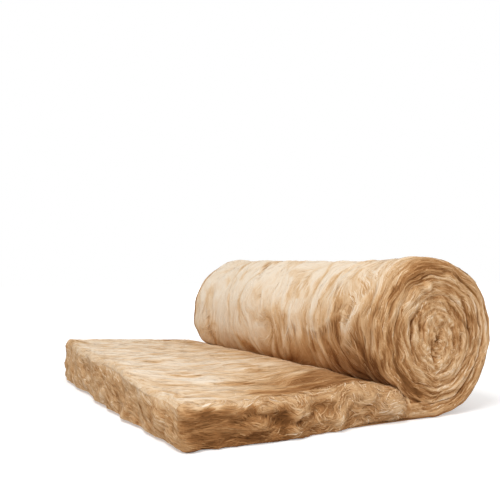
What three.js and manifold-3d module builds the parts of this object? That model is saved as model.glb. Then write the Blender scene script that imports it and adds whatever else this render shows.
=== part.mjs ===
// A glass-wool insulation blanket, wound into a roll and partly unrolled, in millimetres, with +Z up.
// X runs along the blanket, from its cut end to the roll, and Y along the roll's axis. The origin is
// on the floor, under the middle of the whole part.
// The blanket is one piece. A rounded section is lofted along its outer face, which lies on the floor
// as the tail and winds up into the roll, and the turns press into each other until they are one solid.
import * as THREE from "three";
import { mergeVertices } from "three/addons/utils/BufferGeometryUtils.js";
import Module from "manifold-3d";

// The blanket.
const BLANKET_WIDTH = 1140;
const LOFT = 114; // thickness where the tail comes out of the shoulder
const CUT_LOFT = 134; // thickness at the cut end, which has had the longest time to swell
const TURN_PITCH = 42; // thickness that is left of it in a wound turn
const TURN_PRESS = 1.5; // how deep a turn presses into the one that it lies on

// The roll and the tail.
const ROLL_HEIGHT = 420;
const TAIL_LENGTH = 735; // from under the roll's axis to the cut end
const NIP_HEIGHT = 60; // where the tail's top face leaves the roll
const SHOULDER_RUN = 170; // length over which the tail swells from the nip to its loft
const EYE_RADIUS = 24; // the hollow that shows at the middle of each end
const EYE_DEPTH = 26;

// Edges, softened by cutting and handling.
const TURN_EDGE = 11; // each side of the crease between two turns
const RIM_EDGE = 34; // outer edge of the roll's last turn
const TAIL_TOP_EDGE = 26;
const TAIL_FLOOR_EDGE = 10;
const CUT_END_EDGE = 16;

// Fineness of the loft.
const STEP_LENGTH = 30;
const STEP_ANGLE = 0.26; // most that the winding turns in one step
const EDGE_STEPS = 3;
const EYE_SIDES = 24;
const STEPS_A_STRETCH = 12; // the winding is lofted in stretches of less than half a turn

const WOOL_COLOUR = 0xc9a676;
const WOOL_ROUGHNESS = 0.95;

const fullTurn = 2 * Math.PI;
const radiusPerRadian = TURN_PITCH / fullTurn;
const bottomRadius = ROLL_HEIGHT / 2 + TURN_PITCH / 4;
const turnThickness = TURN_PITCH + TURN_PRESS;

// Radius of the blanket's outer face. The angle is 0 straight down and grows from the tail inwards.
function windingRadius(angle) {
  return bottomRadius - radiusPerRadian * angle;
}

// The tail leaves the roll where the spiral runs level, a little before straight down.
const levelAngle = -Math.atan(radiusPerRadian / bottomRadius);
const innerAngle = (bottomRadius - EYE_RADIUS) / radiusPerRadian;
const axisHeight = windingRadius(levelAngle) * Math.cos(levelAngle);
const floorEnd = windingRadius(levelAngle) * Math.sin(levelAngle);

// A point on the outer face in the roll, as x from the roll's axis and z from the floor.
function windingPoint(angle) {
  const radius = windingRadius(angle);
  return new THREE.Vector2(radius * Math.sin(angle), axisHeight - radius * Math.cos(angle));
}

// The turn that rests on the tail passes x left of the axis at this height.
function heightUnderRoll(x) {
  let radius = windingRadius(fullTurn);
  for (let i = 0; i < 8; i++) {
    radius = windingRadius(fullTurn + Math.asin(x / radius));
  }
  return axisHeight - Math.sqrt(radius * radius - x * x);
}

// Walks out from under the axis to where the gap under the roll is as high as the nip.
function findNip() {
  let near = floorEnd;
  let far = -windingRadius(fullTurn) * Math.sin(Math.PI / 3);
  for (let i = 0; i < 40; i++) {
    const middle = (near + far) / 2;
    if (heightUnderRoll(middle) < NIP_HEIGHT) {
      near = middle;
    } else {
      far = middle;
    }
  }
  return near;
}
const nipX = findNip();

// The tail fills the wedge under the roll, swells over a round shoulder, and then thickens slowly.
function tailThickness(x) {
  if (x > nipX) {
    return heightUnderRoll(x) + TURN_PRESS;
  }
  const shoulderEnd = nipX - SHOULDER_RUN;
  if (x > shoulderEnd) {
    const swell = Math.sin((((nipX - x) / SHOULDER_RUN) * Math.PI) / 2);
    return THREE.MathUtils.lerp(NIP_HEIGHT + TURN_PRESS, LOFT, swell);
  }
  return THREE.MathUtils.mapLinear(x, shoulderEnd, -TAIL_LENGTH, LOFT, CUT_LOFT);
}

// One station of the loft: a point on the outer face, the direction through the blanket, its
// thickness there, the radius of its edges on both faces, and how far it is drawn in all round.
function station(point, inward, thickness, outerEdge, innerEdge, inset = 0) {
  return { point, inward, thickness, outerEdge, innerEdge, inset };
}

function tailStations() {
  const up = new THREE.Vector2(0, 1);
  const at = (x, inset) =>
    station(new THREE.Vector2(x, 0), up, tailThickness(x), TAIL_FLOOR_EDGE, TAIL_TOP_EDGE, inset);
  const stations = [];
  for (let i = 0; i < EDGE_STEPS; i++) {
    const angle = (i / EDGE_STEPS) * (Math.PI / 2);
    const inset = CUT_END_EDGE * (1 - Math.sin(angle));
    stations.push(at(-TAIL_LENGTH + CUT_END_EDGE * (1 - Math.cos(angle)), inset));
  }
  const first = -TAIL_LENGTH + CUT_END_EDGE;
  const shoulderEnd = nipX - SHOULDER_RUN;
  const stretches = [
    [first, shoulderEnd, 2 * STEP_LENGTH],
    [shoulderEnd, nipX, STEP_LENGTH / 2],
    [nipX, floorEnd, STEP_LENGTH],
  ];
  for (const [from, to, step] of stretches) {
    const count = Math.max(1, Math.ceil((to - from) / step));
    for (let i = 0; i < count; i++) {
      stations.push(at(from + ((to - from) * i) / count, 0));
    }
  }
  return stations;
}

function windingStations() {
  const stations = [];
  let angle = levelAngle;
  while (angle < innerAngle) {
    const point = windingPoint(angle);
    const radius = windingRadius(angle);
    const inward = new THREE.Vector2(-Math.sin(angle), Math.cos(angle));
    const share = THREE.MathUtils.smoothstep(angle, 0, Math.PI / 2);
    const fade = THREE.MathUtils.smoothstep(angle, Math.PI * 1.5, fullTurn);
    const rim = THREE.MathUtils.lerp(TAIL_FLOOR_EDGE, RIM_EDGE, share);
    const outerEdge = THREE.MathUtils.lerp(rim, TURN_EDGE, fade);
    const thickness = Math.min(turnThickness, radius - TURN_PRESS);
    stations.push(station(point, inward, thickness, outerEdge, TURN_EDGE));
    angle += Math.min(STEP_LENGTH / radius, STEP_ANGLE);
  }
  return stations;
}

// The blanket's section as a rounded rectangle: x through the thickness from the outer face, y along
// the roll's axis. Every section has as many points, so that two stations join point by point.
function sectionPoints({ thickness, outerEdge, innerEdge, inset }) {
  const low = inset;
  const high = thickness - inset;
  const side = BLANKET_WIDTH / 2 - inset;
  const fit = (edge) => Math.min(Math.max(edge - inset, edge / 4), (high - low) * 0.45);
  const outer = fit(outerEdge);
  const inner = fit(innerEdge);
  const corners = [
    [low + outer, -side + outer, outer, Math.PI],
    [high - inner, -side + inner, inner, 1.5 * Math.PI],
    [high - inner, side - inner, inner, 0],
    [low + outer, side - outer, outer, 0.5 * Math.PI],
  ];
  return corners.flatMap(([x, y, radius, start]) =>
    new THREE.EllipseCurve(x, y, radius, radius, start, start + Math.PI / 2).getPoints(EDGE_STEPS),
  );
}

// A closed solid through these stations, with flat caps.
function loft(stations) {
  const rings = stations.map((s) =>
    sectionPoints(s).map(
      (p) => new THREE.Vector3(s.point.x + s.inward.x * p.x, p.y, s.point.y + s.inward.y * p.x),
    ),
  );
  const ringSize = rings[0].length;
  const positions = rings.flat().flatMap((p) => [p.x, p.y, p.z]);
  const faces = [];
  for (let i = 0; i + 1 < rings.length; i++) {
    for (let j = 0; j < ringSize; j++) {
      const next = (j + 1) % ringSize;
      const a = i * ringSize + j;
      const b = i * ringSize + next;
      const c = (i + 1) * ringSize + next;
      const d = (i + 1) * ringSize + j;
      faces.push(a, c, b, a, d, c);
    }
  }
  for (const [a, b, c] of THREE.ShapeUtils.triangulateShape(sectionPoints(stations[0]), [])) {
    faces.push(a, b, c);
  }
  const last = (rings.length - 1) * ringSize;
  for (const [a, b, c] of THREE.ShapeUtils.triangulateShape(sectionPoints(stations.at(-1)), [])) {
    faces.push(last + a, last + c, last + b);
  }
  const geometry = new THREE.BufferGeometry();
  geometry.setAttribute("position", new THREE.Float32BufferAttribute(positions, 3));
  geometry.setIndex(faces);
  return geometry;
}

const wasm = await Module();
wasm.setup();

function toSolid(geometry) {
  const bare = geometry.clone();
  bare.deleteAttribute("normal");
  bare.deleteAttribute("uv");
  const merged = mergeVertices(bare, 1e-4);
  return new wasm.Manifold(
    new wasm.Mesh({
      numProp: 3,
      vertProperties: new Float32Array(merged.attributes.position.array),
      triVerts: new Uint32Array(merged.index.array),
    }),
  );
}

function toGeometry(solid) {
  const mesh = solid.getMesh();
  const geometry = new THREE.BufferGeometry();
  geometry.setAttribute("position", new THREE.BufferAttribute(mesh.vertProperties, mesh.numProp));
  geometry.setIndex(new THREE.BufferAttribute(mesh.triVerts, 1));
  const flat = geometry.toNonIndexed();
  flat.computeVertexNormals();
  return flat;
}

// The innermost fold of the blanket, which closes the roll's middle and leaves an eye at each end.
function coreFold() {
  const length = BLANKET_WIDTH - 2 * EYE_DEPTH;
  const fold = new THREE.CylinderGeometry(EYE_RADIUS, EYE_RADIUS, length, EYE_SIDES);
  return fold.translate(0, 0, axisHeight);
}

// Each stretch shares its last station with the next one.
function blanket() {
  const stations = [...tailStations(), ...windingStations()];
  let solid = toSolid(coreFold());
  for (let i = 0; i + 1 < stations.length; i += STEPS_A_STRETCH) {
    solid = solid.add(toSolid(loft(stations.slice(i, i + STEPS_A_STRETCH + 1))));
  }
  // Where two turns nearly share a face, the joins can leave a sliver of no volume beside the blanket.
  const [whole] = solid.decompose().sort((a, b) => b.volume() - a.volume());
  return toGeometry(whole);
}

const wool = new THREE.MeshStandardMaterial({
  color: WOOL_COLOUR,
  roughness: WOOL_ROUGHNESS,
  metalness: 0,
});

const roll = new THREE.Group();
const mesh = new THREE.Mesh(blanket(), wool);
mesh.name = "wool_blanket";
const rollReach = windingRadius(Math.PI / 2);
mesh.position.x = (TAIL_LENGTH - rollReach) / 2;
roll.add(mesh);

export default roll;
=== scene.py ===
"""Builds a partly unrolled roll of glass wool, with its loose fibres, on a pale studio floor."""

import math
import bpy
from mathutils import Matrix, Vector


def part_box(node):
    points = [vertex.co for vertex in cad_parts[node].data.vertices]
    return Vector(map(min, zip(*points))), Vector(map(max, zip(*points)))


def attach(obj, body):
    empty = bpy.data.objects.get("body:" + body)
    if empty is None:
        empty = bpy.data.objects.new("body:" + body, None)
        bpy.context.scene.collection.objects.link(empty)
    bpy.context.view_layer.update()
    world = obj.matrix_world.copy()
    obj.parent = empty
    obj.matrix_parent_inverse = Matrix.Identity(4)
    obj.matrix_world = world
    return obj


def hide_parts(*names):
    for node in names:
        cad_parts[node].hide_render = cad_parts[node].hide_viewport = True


bl_info = {
    "name": "Glass-Wool Roll",
    "version": (1, 0, 0),
    "blender": (4, 5, 0),
    "location": "View3D > Sidebar > Wool Roll",
    "description": "Builds a soft, partly unrolled insulation roll, its fibres and a studio",
    "category": "Add Mesh",
}

from types import SimpleNamespace

import bpy
import numpy as np
from bpy.props import FloatProperty, FloatVectorProperty, IntProperty, PointerProperty

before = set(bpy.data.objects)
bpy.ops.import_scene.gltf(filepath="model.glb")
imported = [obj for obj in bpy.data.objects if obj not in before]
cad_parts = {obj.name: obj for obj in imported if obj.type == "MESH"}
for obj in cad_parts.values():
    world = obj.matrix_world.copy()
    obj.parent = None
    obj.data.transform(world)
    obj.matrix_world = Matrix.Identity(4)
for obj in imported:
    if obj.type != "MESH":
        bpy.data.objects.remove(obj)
NODE = "wool_blanket"
LOW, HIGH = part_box(NODE)
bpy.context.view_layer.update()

WIDTH = HIGH[1] - LOW[1]
ROLL_HEIGHT = HIGH[2] - LOW[2]
TURN = 2 * math.pi


# --- Settings -------------------------------------------------------------------------------------


def setting(name, description, default, **traits):
    """A number that the sidebar shows."""
    return FloatProperty(name=name, description=description, default=default, **traits)


def length(name, description, default):
    """A length in metres."""
    return setting(name, description, default, unit="LENGTH", subtype="DISTANCE", precision=4)


def share(name, description, default):
    """A number without a unit, from 0 up."""
    return setting(name, description, default, min=0.0)


def strand_count(name, description, default):
    """How many strands are laid."""
    return IntProperty(name=name, description=description, default=default, min=1)


def turned(name, description, degrees):
    """An angle, given in degrees."""
    return setting(name, description, math.radians(degrees), unit="ROTATION", subtype="ANGLE")


def lamp_power(name, description, default):
    """The power of a lamp in watts."""
    return setting(name, description, default, unit="POWER")


def colour(name, description, default):
    """A colour in linear light."""
    return FloatVectorProperty(
        name=name,
        description=description,
        default=default,
        subtype="COLOR",
        size=3,
        min=0.0,
        max=1.0,
    )


class BlanketSizes(bpy.types.PropertyGroup):
    """Sizes of the blanket itself"""

    turn_pitch: length("Turn pitch", "Thickness that is left of the blanket in a wound turn", 0.042)
    loft: length("Loft", "Thickness where the tail comes out of the shoulder", 0.114)
    cut_loft: length("Cut loft", "Thickness at the cut end", 0.134)
    shoulder_run: length("Shoulder run", "Length over which the tail swells beside the roll", 0.170)
    rim_depth: length("Rim depth", "How far the last turn rounds in along the roll's axis", 0.034)
    crease_depth: length("Crease depth", "Depth of the crease between two turns on the ends", 0.012)
    top_edge: length("Top edge", "Rounding of the tail's upper edges", 0.030)
    floor_edge: length("Floor edge", "Rounding of the tail's lower edges", 0.013)
    cut_edge: length("Cut edge", "Rounding of the cut end's upper and upright edges", 0.015)
    cut_floor_edge: length("Cut floor edge", "Rounding of the cut end's lower edge", 0.009)
    core_sag: length("Core sag", "How far the inner turns have sunk", 0.016)
    core_squeeze: share("Core squeeze", "How much narrower than tall the innermost turns are", 0.30)
    turn_wander: length("Turn wander", "How far the inner turns stray from an even spiral", 0.005)
    eye_depth: length("Eye depth", "Depth of the hollow at the middle of each end", 0.007)
    waist: length("Waist", "How much thinner the roll is halfway along", 0.002)
    end_bulge: length("End bulge", "How far the far end's lower turns have slid out", 0.020)
    ragged: length("Ragged", "How far the tail's cut faces stray from straight", 0.009)
    cut_skew: length("Cut skew", "How far the far corner of the cut end lies back", 0.022)
    far_draw: length("Far draw", "How far the far corner of the tail draws in", 0.050)
    near_slump: length("Near slump", "How much thinner the tail is along its near edge", 0.034)


class ReliefSizes(bpy.types.PropertyGroup):
    """Height of the wool's relief, from broad swells to single strands"""

    swell: length("Swell", "Height of the broad swells", 0.006)
    lock: length("Lock", "Height of a lock of fibres", 0.0040)
    strand: length("Strand", "Height of a strand", 0.0016)
    crease: length("Crease", "Depth of the creases between two locks", 0.0060)
    tuft: length("Tuft", "Height of the tufts on the tail's cut faces", 0.016)
    bump: length("Bump", "Height of the finest fibres, made by the material", 0.0010)


class StrandSizes(bpy.types.PropertyGroup):
    """Number and sizes of the separate strands that lie on the wool"""

    skin_count: strand_count("Skin count", "Strands on the roll's skin", 6800)
    skin_length: length("Skin length", "Length of a strand on the skin", 0.190)
    skin_width: length("Skin width", "Width of a strand on the skin", 0.0040)
    top_count: strand_count("Top count", "Strands on the tail's top", 7000)
    top_length: length("Top length", "Length of a strand on the tail's top", 0.120)
    top_width: length("Top width", "Width of a strand on the tail's top", 0.0031)
    near_end_count: strand_count("Near end count", "Strands on the near end", 7400)
    far_end_count: strand_count("Far end count", "Strands on the far end", 2900)
    end_length: length("End length", "Length of a strand on an end", 0.060)
    end_width: length("End width", "Width of a strand on an end", 0.0020)
    side_count: strand_count("Side count", "Strands on the tail's cut faces", 7000)
    side_length: length("Side length", "Length of a strand on a cut face", 0.048)
    side_width: length("Side width", "Width of a strand on a cut face", 0.0024)
    flatness: share("Flatness", "Height of a strand as a share of its width", 0.14)
    lift: length("Lift", "How far the middle of a strand stands off the wool", 0.0006)


class WoolColours(bpy.types.PropertyGroup):
    """Colours of the wool, from the painted shade of its deepest creases to its palest strands"""

    # The crease colour is reached by painted shade deep between locks. Brown is the colour of
    # resin-rich fibres, and also of the painted shade towards the floor, in folds and in hollows.
    crease: colour("Crease", "Deep between two locks", (0.170, 0.066, 0.019))
    brown: colour("Brown", "Resin-rich fibres", (0.385, 0.173, 0.060))
    tan: colour("Tan", "Most of the wool", (0.600, 0.345, 0.155))
    cream: colour("Cream", "Pale strands", (0.825, 0.602, 0.375))
    pale: colour("Pale", "The palest strands", (0.920, 0.815, 0.680))
    roughness: share("Roughness", "Surface roughness", 0.95)


class StageSettings(bpy.types.PropertyGroup):
    """Camera, lamps and floor"""

    eye: FloatVectorProperty(
        name="Camera place",
        description="Where the camera stands",
        default=(-1.01105, -1.85342, 0.39403),
        subtype="TRANSLATION",
        unit="LENGTH",
        size=3,
    )
    bearing: turned("Bearing", "Where the camera looks, turned from +Y towards +X", 28.94)
    tilt: turned("Tilt", "How far the camera looks up", 1.54)
    lens: setting("Lens", "Focal length on a 36 mm sensor", 47.33, unit="CAMERA")
    key_power: lamp_power("Key", "Power of the key lamp", 62.0)
    fill_power: lamp_power("Fill", "Power of the fill lamp", 18.0)
    ambient: share("Ambient", "Strength of the light from all round", 0.55)
    floor: colour("Floor", "Colour of the floor", (0.90, 0.90, 0.90))


class WoolRollSettings(bpy.types.PropertyGroup):
    """All settings of the roll"""

    blanket: PointerProperty(type=BlanketSizes, name="Blanket")
    relief: PointerProperty(type=ReliefSizes, name="Relief")
    strands: PointerProperty(type=StrandSizes, name="Strands")
    colours: PointerProperty(type=WoolColours, name="Colours")
    stage: PointerProperty(type=StageSettings, name="Stage")


# --- Noise and soft shapes ------------------------------------------------------------------------

# Large odd factors that scatter the bits of a lattice point's numbers, and a 32-bit word.
SCATTER_I, SCATTER_J, SCATTER_SEED, SCATTER_AGAIN = 374761393, 668265263, 1442695041, 1274126177
WORD = 0xFFFFFFFF
NOISE_GAIN = 1.5  # brings the noise to about -1 to 1
LAYER_SEEDS = 101  # from one layer's seed to the next one's


def lattice_angle(i, j, seed):
    """A repeatable angle at each whole-numbered lattice point."""
    h = (i * SCATTER_I + j * SCATTER_J + seed * SCATTER_SEED) & WORD
    h = ((h ^ (h >> 13)) * SCATTER_AGAIN) & WORD
    h = h ^ (h >> 16)
    return h * (TURN / (WORD + 1))


def noise(u, v, seed):
    """Smooth noise from about -1 to 1, with features about one unit wide."""
    i = np.floor(u).astype(np.int64)
    j = np.floor(v).astype(np.int64)
    fu = u - i
    fv = v - j
    su = fu**3 * (fu * (fu * 6 - 15) + 10)
    sv = fv**3 * (fv * (fv * 6 - 15) + 10)

    def corner(di, dj):
        angle = lattice_angle(i + di, j + dj, seed)
        return np.cos(angle) * (fu - di) + np.sin(angle) * (fv - dj)

    low = corner(0, 0) * (1 - su) + corner(1, 0) * su
    high = corner(0, 1) * (1 - su) + corner(1, 1) * su
    return NOISE_GAIN * (low * (1 - sv) + high * sv)


def layers(u, v, seed, count=2):
    """Noise with finer layers of half the height on top."""
    total = 0.0
    for k in range(count):
        total = total + noise(u * 2**k, v * 2**k, seed + LAYER_SEEDS * k) / 2**k
    return total


def billows(u, v, seed, count=3):
    """Rounded lumps from about -0.5 to 1, with sharp hollows between them."""
    total = 0.0
    for k in range(count):
        total = total + 2 * np.abs(noise(u * 2**k, v * 2**k, seed + LAYER_SEEDS * k)) / 2**k
    return total - 0.85


def smooth(x, start, end):
    """Rises softly from 0 at start to 1 at end."""
    f = np.clip((x - start) / (end - start), 0.0, 1.0)
    return f * f * (3 - 2 * f)


def hill(x, middle, reach):
    """A smooth hill that is 1 high at its middle."""
    return np.exp(-(((x - middle) / reach) ** 2))


def hills(x, table):
    """Sum of hills, each given as middle, reach and height."""
    return sum(height * hill(x, middle, reach) for middle, reach, height in table)


def spots(u, v, table):
    """Sum of round hills, each given as place, half the length and width, and height."""
    total = 0.0
    for u0, v0, long, wide, height in table:
        total = total + height * np.exp(-(((u - u0) / long) ** 2) - ((v - v0) / wide) ** 2)
    return total


def unit(vectors):
    """Vectors of length 1 in the same directions."""
    return vectors / np.maximum(np.linalg.norm(vectors, axis=-1, keepdims=True), 1e-12)


def strayed(u, v, amount, size, seed):
    """Both coordinates with a little noise, so that what is drawn on them gets a natural edge."""
    u_noise = layers(u / size, v / size, seed)
    v_noise = layers(u / size, v / size, seed + 1)
    return u + amount * u_noise, v + amount * v_noise


# --- The blanket at rest --------------------------------------------------------------------------

STEPS_A_TURN = 132
ROWS = 22  # through the blanket's thickness, on its sides and ends
COLUMNS = 300  # along the roll's axis
NIP_STEPS = STEPS_A_TURN // 12  # the tail's top leaves the roll at a twelfth of a turn
CUT_STEPS = 6  # round the edges of the cut end
TOP_STEP = 0.012  # between two sections of the free tail
FADING_TURNS = (2.2, 3.4)  # the creases of the ends grow shallow between these turns
CREASES_LEFT = 0.3  # share of a crease's depth that is left after them
RIM_TURN = 0.22  # the floor's edge becomes the rim within this share of a turn
INWARD_SHARE = 0.7  # how fast the pattern of an end moves on towards the next turn
TINY = 1e-6
BAKE_MAP = "OFBake"


class Stations:
    """The blanket's sections in order, from its cut end along the tail and round to the eye.

    Each has a point on the outer face, the direction through the blanket and its thickness. The
    section's two outer edges are quarter ellipses: edge is their extent through the thickness, and
    inset how far they draw in along the roll's axis. shrink draws the whole section in, at the cut
    end. axis_x and axis_z are where the roll's axis lies, and nip_x is where the tail leaves it.
    """

    def __init__(self, sizes):
        pitch = sizes.turn_pitch
        first_radius = ROLL_HEIGHT / 2 + pitch / 4
        reach = first_radius - pitch / 4
        self.axis_x = HIGH[0] - reach
        self.axis_z = first_radius
        turns = first_radius / pitch
        wound = np.arange(math.ceil(STEPS_A_TURN * turns) + 1)
        angle = wound * TURN / STEPS_A_TURN
        radius = np.maximum(first_radius - pitch * wound / STEPS_A_TURN, 0.0)
        wound_x = self.axis_x + radius * np.sin(angle)
        wound_z = self.axis_z - radius * np.cos(angle)

        # Under the roll, the tail's sections stand where the next turn's do.
        under = np.arange(STEPS_A_TURN - NIP_STEPS, STEPS_A_TURN)
        self.nip_x = wound_x[under[0]]
        round_off = np.arange(CUT_STEPS) / CUT_STEPS * (math.pi / 2)
        tail_x = self.tail_places(sizes, round_off)
        tail_height = self.tail_heights(sizes, tail_x, wound_z[under[0]])

        flat = np.zeros(len(tail_x) + len(under))
        self.x = np.concatenate([tail_x, wound_x[under], wound_x])
        self.z = np.concatenate([flat, wound_z])
        self.through_x = np.concatenate([flat, -np.sin(angle)])
        self.through_z = np.concatenate([flat + 1, np.cos(angle)])
        self.thickness = np.concatenate([tail_height, wound_z[under], np.minimum(radius, pitch)])
        self.shrink = np.zeros_like(self.x)
        self.shrink[:CUT_STEPS] = sizes.cut_edge * (1 - np.sin(round_off))
        self.shrink_low = self.shrink * sizes.cut_floor_edge / sizes.cut_edge
        self.nip = len(tail_x)  # the station at the nip
        self.bottom = self.nip + NIP_STEPS  # the station under the roll's axis
        self.end = len(self.x) - 1
        self.skin_end = self.bottom + STEPS_A_TURN - NIP_STEPS

        # How far a point on the outer face has travelled along the wool, for its fibres' pattern.
        self.turn = (np.arange(len(self.x)) - self.bottom) / STEPS_A_TURN
        mean_radius = first_radius - pitch / 2
        wound_along = self.turn * TURN * mean_radius
        self.along = np.where(self.turn < 0, self.x - self.axis_x, wound_along)
        self.round_edges(sizes)

    def tail_places(self, sizes, round_off):
        """Where the tail's sections stand, close together round the edge of the cut end."""
        cut_x = LOW[0]
        end_x = cut_x + sizes.cut_edge * (1 - np.cos(round_off))
        steps = round((self.nip_x - cut_x) / TOP_STEP)
        free_x = np.linspace(cut_x + sizes.cut_edge, self.nip_x, 1 + steps)[:-1]
        return np.concatenate([end_x, free_x])

    def tail_heights(self, sizes, tail_x, nip_height):
        """Thickness of the tail, which swells over its shoulder and then slowly up to its end."""
        swell = np.sin(np.clip((self.nip_x - tail_x) / sizes.shoulder_run, 0, 1) * math.pi / 2)
        shoulder_x = self.nip_x - sizes.shoulder_run
        far = np.clip((shoulder_x - tail_x) / (shoulder_x - LOW[0]), 0, 1)
        at_shoulder = nip_height + (sizes.loft - nip_height) * swell
        return at_shoulder + (sizes.cut_loft - sizes.loft) * far

    def round_edges(self, sizes):
        """Sizes of the quarter ellipses at both edges of each section."""
        turn = self.turn
        station = np.arange(len(self.x))
        on_tail = station < self.nip
        crease = sizes.crease_depth * (0.8 + 0.45 * noise(turn * 5.3, 0 * turn + 0.5, 31))
        crease = crease * (1 - (1 - CREASES_LEFT) * smooth(turn, *FADING_TURNS))
        rim = sizes.floor_edge + (sizes.rim_depth - sizes.floor_edge) * smooth(turn, 0, RIM_TURN)
        rim_end = 1 - NIP_STEPS / STEPS_A_TURN
        outer = rim + (crease - rim) * smooth(turn, rim_end - 0.3, rim_end)
        self.outer_inset = np.where(turn < 0, sizes.floor_edge, outer)

        # A section's inner edge meets the outer edge of the next turn.
        inner = self.outer_inset[np.minimum(station + STEPS_A_TURN, self.end)]
        near_nip = smooth(self.x, self.nip_x - 0.10, self.nip_x)
        top = sizes.top_edge + (inner[self.nip] - sizes.top_edge) * near_nip
        self.inner_inset = np.where(on_tail, top, inner)
        half = self.thickness / 2
        self.outer_edge = np.where(turn < 0, np.minimum(half, sizes.floor_edge), half)
        self.inner_edge = np.where(on_tail, np.minimum(half, sizes.top_edge), half)

    def depth(self, index, q):
        """Depth below the outer face, for q from 0 at the outer face to 1 at the inner one."""
        low = self.shrink_low[index]
        span = self.thickness[index] - low - self.shrink[index]
        return low + span * (1 - np.cos(math.pi * q)) / 2

    def inset(self, index, q):
        """How far the side draws in from the blanket's full width."""
        shrink = self.shrink[index]
        low = self.shrink_low[index]
        span = self.thickness[index] - low - shrink
        t = self.depth(index, q) - low

        def rounding(distance, edge, inset):
            edge = np.maximum(np.minimum(edge - shrink, span / 2), TINY)
            inset = np.maximum(inset - shrink, inset / 4)
            part = np.clip((edge - distance) / edge, 0, 1)
            return inset * (1 - np.sqrt(np.maximum(1 - part**2, 0)))

        outer = rounding(t, self.outer_edge[index], self.outer_inset[index])
        inner = rounding(span - t, self.inner_edge[index], self.inner_inset[index])
        return shrink + np.maximum(outer, inner)

    def place(self, index, q, v):
        """The point at depth q and at v from -1 to 1 across the blanket."""
        t = self.depth(index, q)
        y = v * (WIDTH / 2 - self.inset(index, q))
        x = self.x[index] + self.through_x[index] * t
        z = self.z[index] + self.through_z[index] * t
        return np.stack(np.broadcast_arrays(x, y, z), axis=-1)


class Patch:
    """One grid of the blanket's surface, with its resting points and their pattern coordinates.

    along runs along the wool and across runs over it, both in metres.
    """

    def __init__(self, name, rest, along, across, outward):
        self.name = name
        self.rest = rest
        self.along = along
        self.across = across
        self.normal = unit(np.cross(np.gradient(rest, axis=0), np.gradient(rest, axis=1)))
        middle = self.normal[rest.shape[0] // 2, rest.shape[1] // 2]
        self.flipped = False
        if np.dot(middle, outward) < 0:
            self.turn_over()

    def turn_over(self):
        """Makes the other side of the patch its outside."""
        self.normal = -self.normal
        self.flipped = not self.flipped


def blanket_patches(st):
    """All faces of the blanket's outside, which share their boundary points."""
    columns = np.linspace(-1, 1, COLUMNS + 1)[None, :]
    rows = np.linspace(0, 1, ROWS + 1)[None, :]

    def lengthwise(name, first, last, q, outward):
        index = np.arange(first, last + 1)[:, None]
        rest = st.place(index, q, columns)
        along = np.broadcast_to(st.along[index], rest.shape[:2])
        return Patch(name, rest, along, rest[..., 1], outward)

    def sidewise(name, first, last, side):
        index = np.arange(first, last + 1)[:, None]
        rest = st.place(index, rows, side)
        along = np.broadcast_to(st.along[index], rest.shape[:2])
        step = np.linalg.norm(np.diff(rest, axis=1), axis=-1)
        travelled = np.concatenate([np.zeros((len(index), 1)), np.cumsum(step, axis=1)], axis=1)
        if name.startswith("end"):
            wound = np.maximum(st.turn[index], 0) * st.thickness[st.bottom]
            travelled = travelled * INWARD_SHARE + wound
        across = WIDTH / 2 - st.outer_inset[index] + travelled
        return Patch(name, rest, along, side * across, (0, side, 0))

    def cut_end():
        rest = st.place(np.zeros((1, 1), int), rows.T, columns)
        along = np.broadcast_to(rest[..., 2], rest.shape[:2])
        return Patch("cut_end", rest, along, rest[..., 1], (-1, 0, 0))

    def skin():
        patch = lengthwise("skin", st.bottom, st.skin_end, 0.0, (0, 0, 1))
        right = STEPS_A_TURN // 4, COLUMNS // 2  # the skin's point furthest from the tail
        if patch.normal[right][0] * (patch.rest[right][0] - st.axis_x) < 0:
            patch.turn_over()
        return patch

    return [
        lengthwise("top", 0, st.nip, 1.0, (0, 0, 1)),
        lengthwise("floor", 0, st.bottom, 0.0, (0, 0, -1)),
        skin(),
        cut_end(),
        sidewise("side_near", 0, st.nip, -1),
        sidewise("side_far", 0, st.nip, 1),
        sidewise("end_near", st.nip, st.end, -1),
        sidewise("end_far", st.nip, st.end, 1),
    ]


# --- The blanket's relief -------------------------------------------------------------------------
#
# A relief function gives three things at each point of a patch: a height off the resting wool, a
# tone from 0 in the deepest crease to 1 on the palest strand, and the fibre line that passes there.
# Besides the wool's own browner and paler fibres, the tone holds painted shade: it is darker in
# creases, folds, splits and hollows, and the patterns that raise the wool also make it paler.
# s is the place along the wool and a the place across it, both in metres. Each pattern is noise on
# s and on the fibre line, divided by the pattern's length and width, with a seed of its own.

# The tone of each face before its patterns.
SKIN_TONE = 0.97
END_TONE = 0.548
TOP_TONE = 0.872
SIDE_TONE = 0.220
CUT_TONE = 0.525
FLOOR_TONE = 0.5
SIDE_CORNER_TONE = 0.45
CUT_CORNER_TONE = 0.46
# The sides' pale tones are held back as painted shade.
SIDE_PALEST = 0.60  # paler tones than this are held back on the tail's sides

# The rim, where the roll's skin turns into its end, as distances from the blanket's edge.
RIM_START, RIM_END = -0.04, 0.02
CREASE_SHARP = 0.13  # how narrow a crease is against the pattern that it follows
KNOB_HEIGHT = 0.010
END_FOLD_SPREAD = 1.25  # how much wider the near end's folds are drawn
SPOT_DEPTH = 0.035  # height of the near side's spots for a whole step of tone
NIP_DENT = 0.012
NIP_FOLD = 0.012  # depth of the fold where the tail's side meets the roll

# Places on the skin where the fibres whirl round a knot: along the winding, along the axis, how far
# the whirl reaches along and across the fibres, and how far it pushes them aside.
WHIRLS = (
    (0.96, -0.015, 0.08, 0.065, 0.1105),
    (0.885, -0.335, 0.05, 0.032, 0.0224),
    (0.74, -0.365, 0.04, 0.03, 0.018),
    (0.8, 0.33, 0.06, 0.04, 0.028),
)
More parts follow.
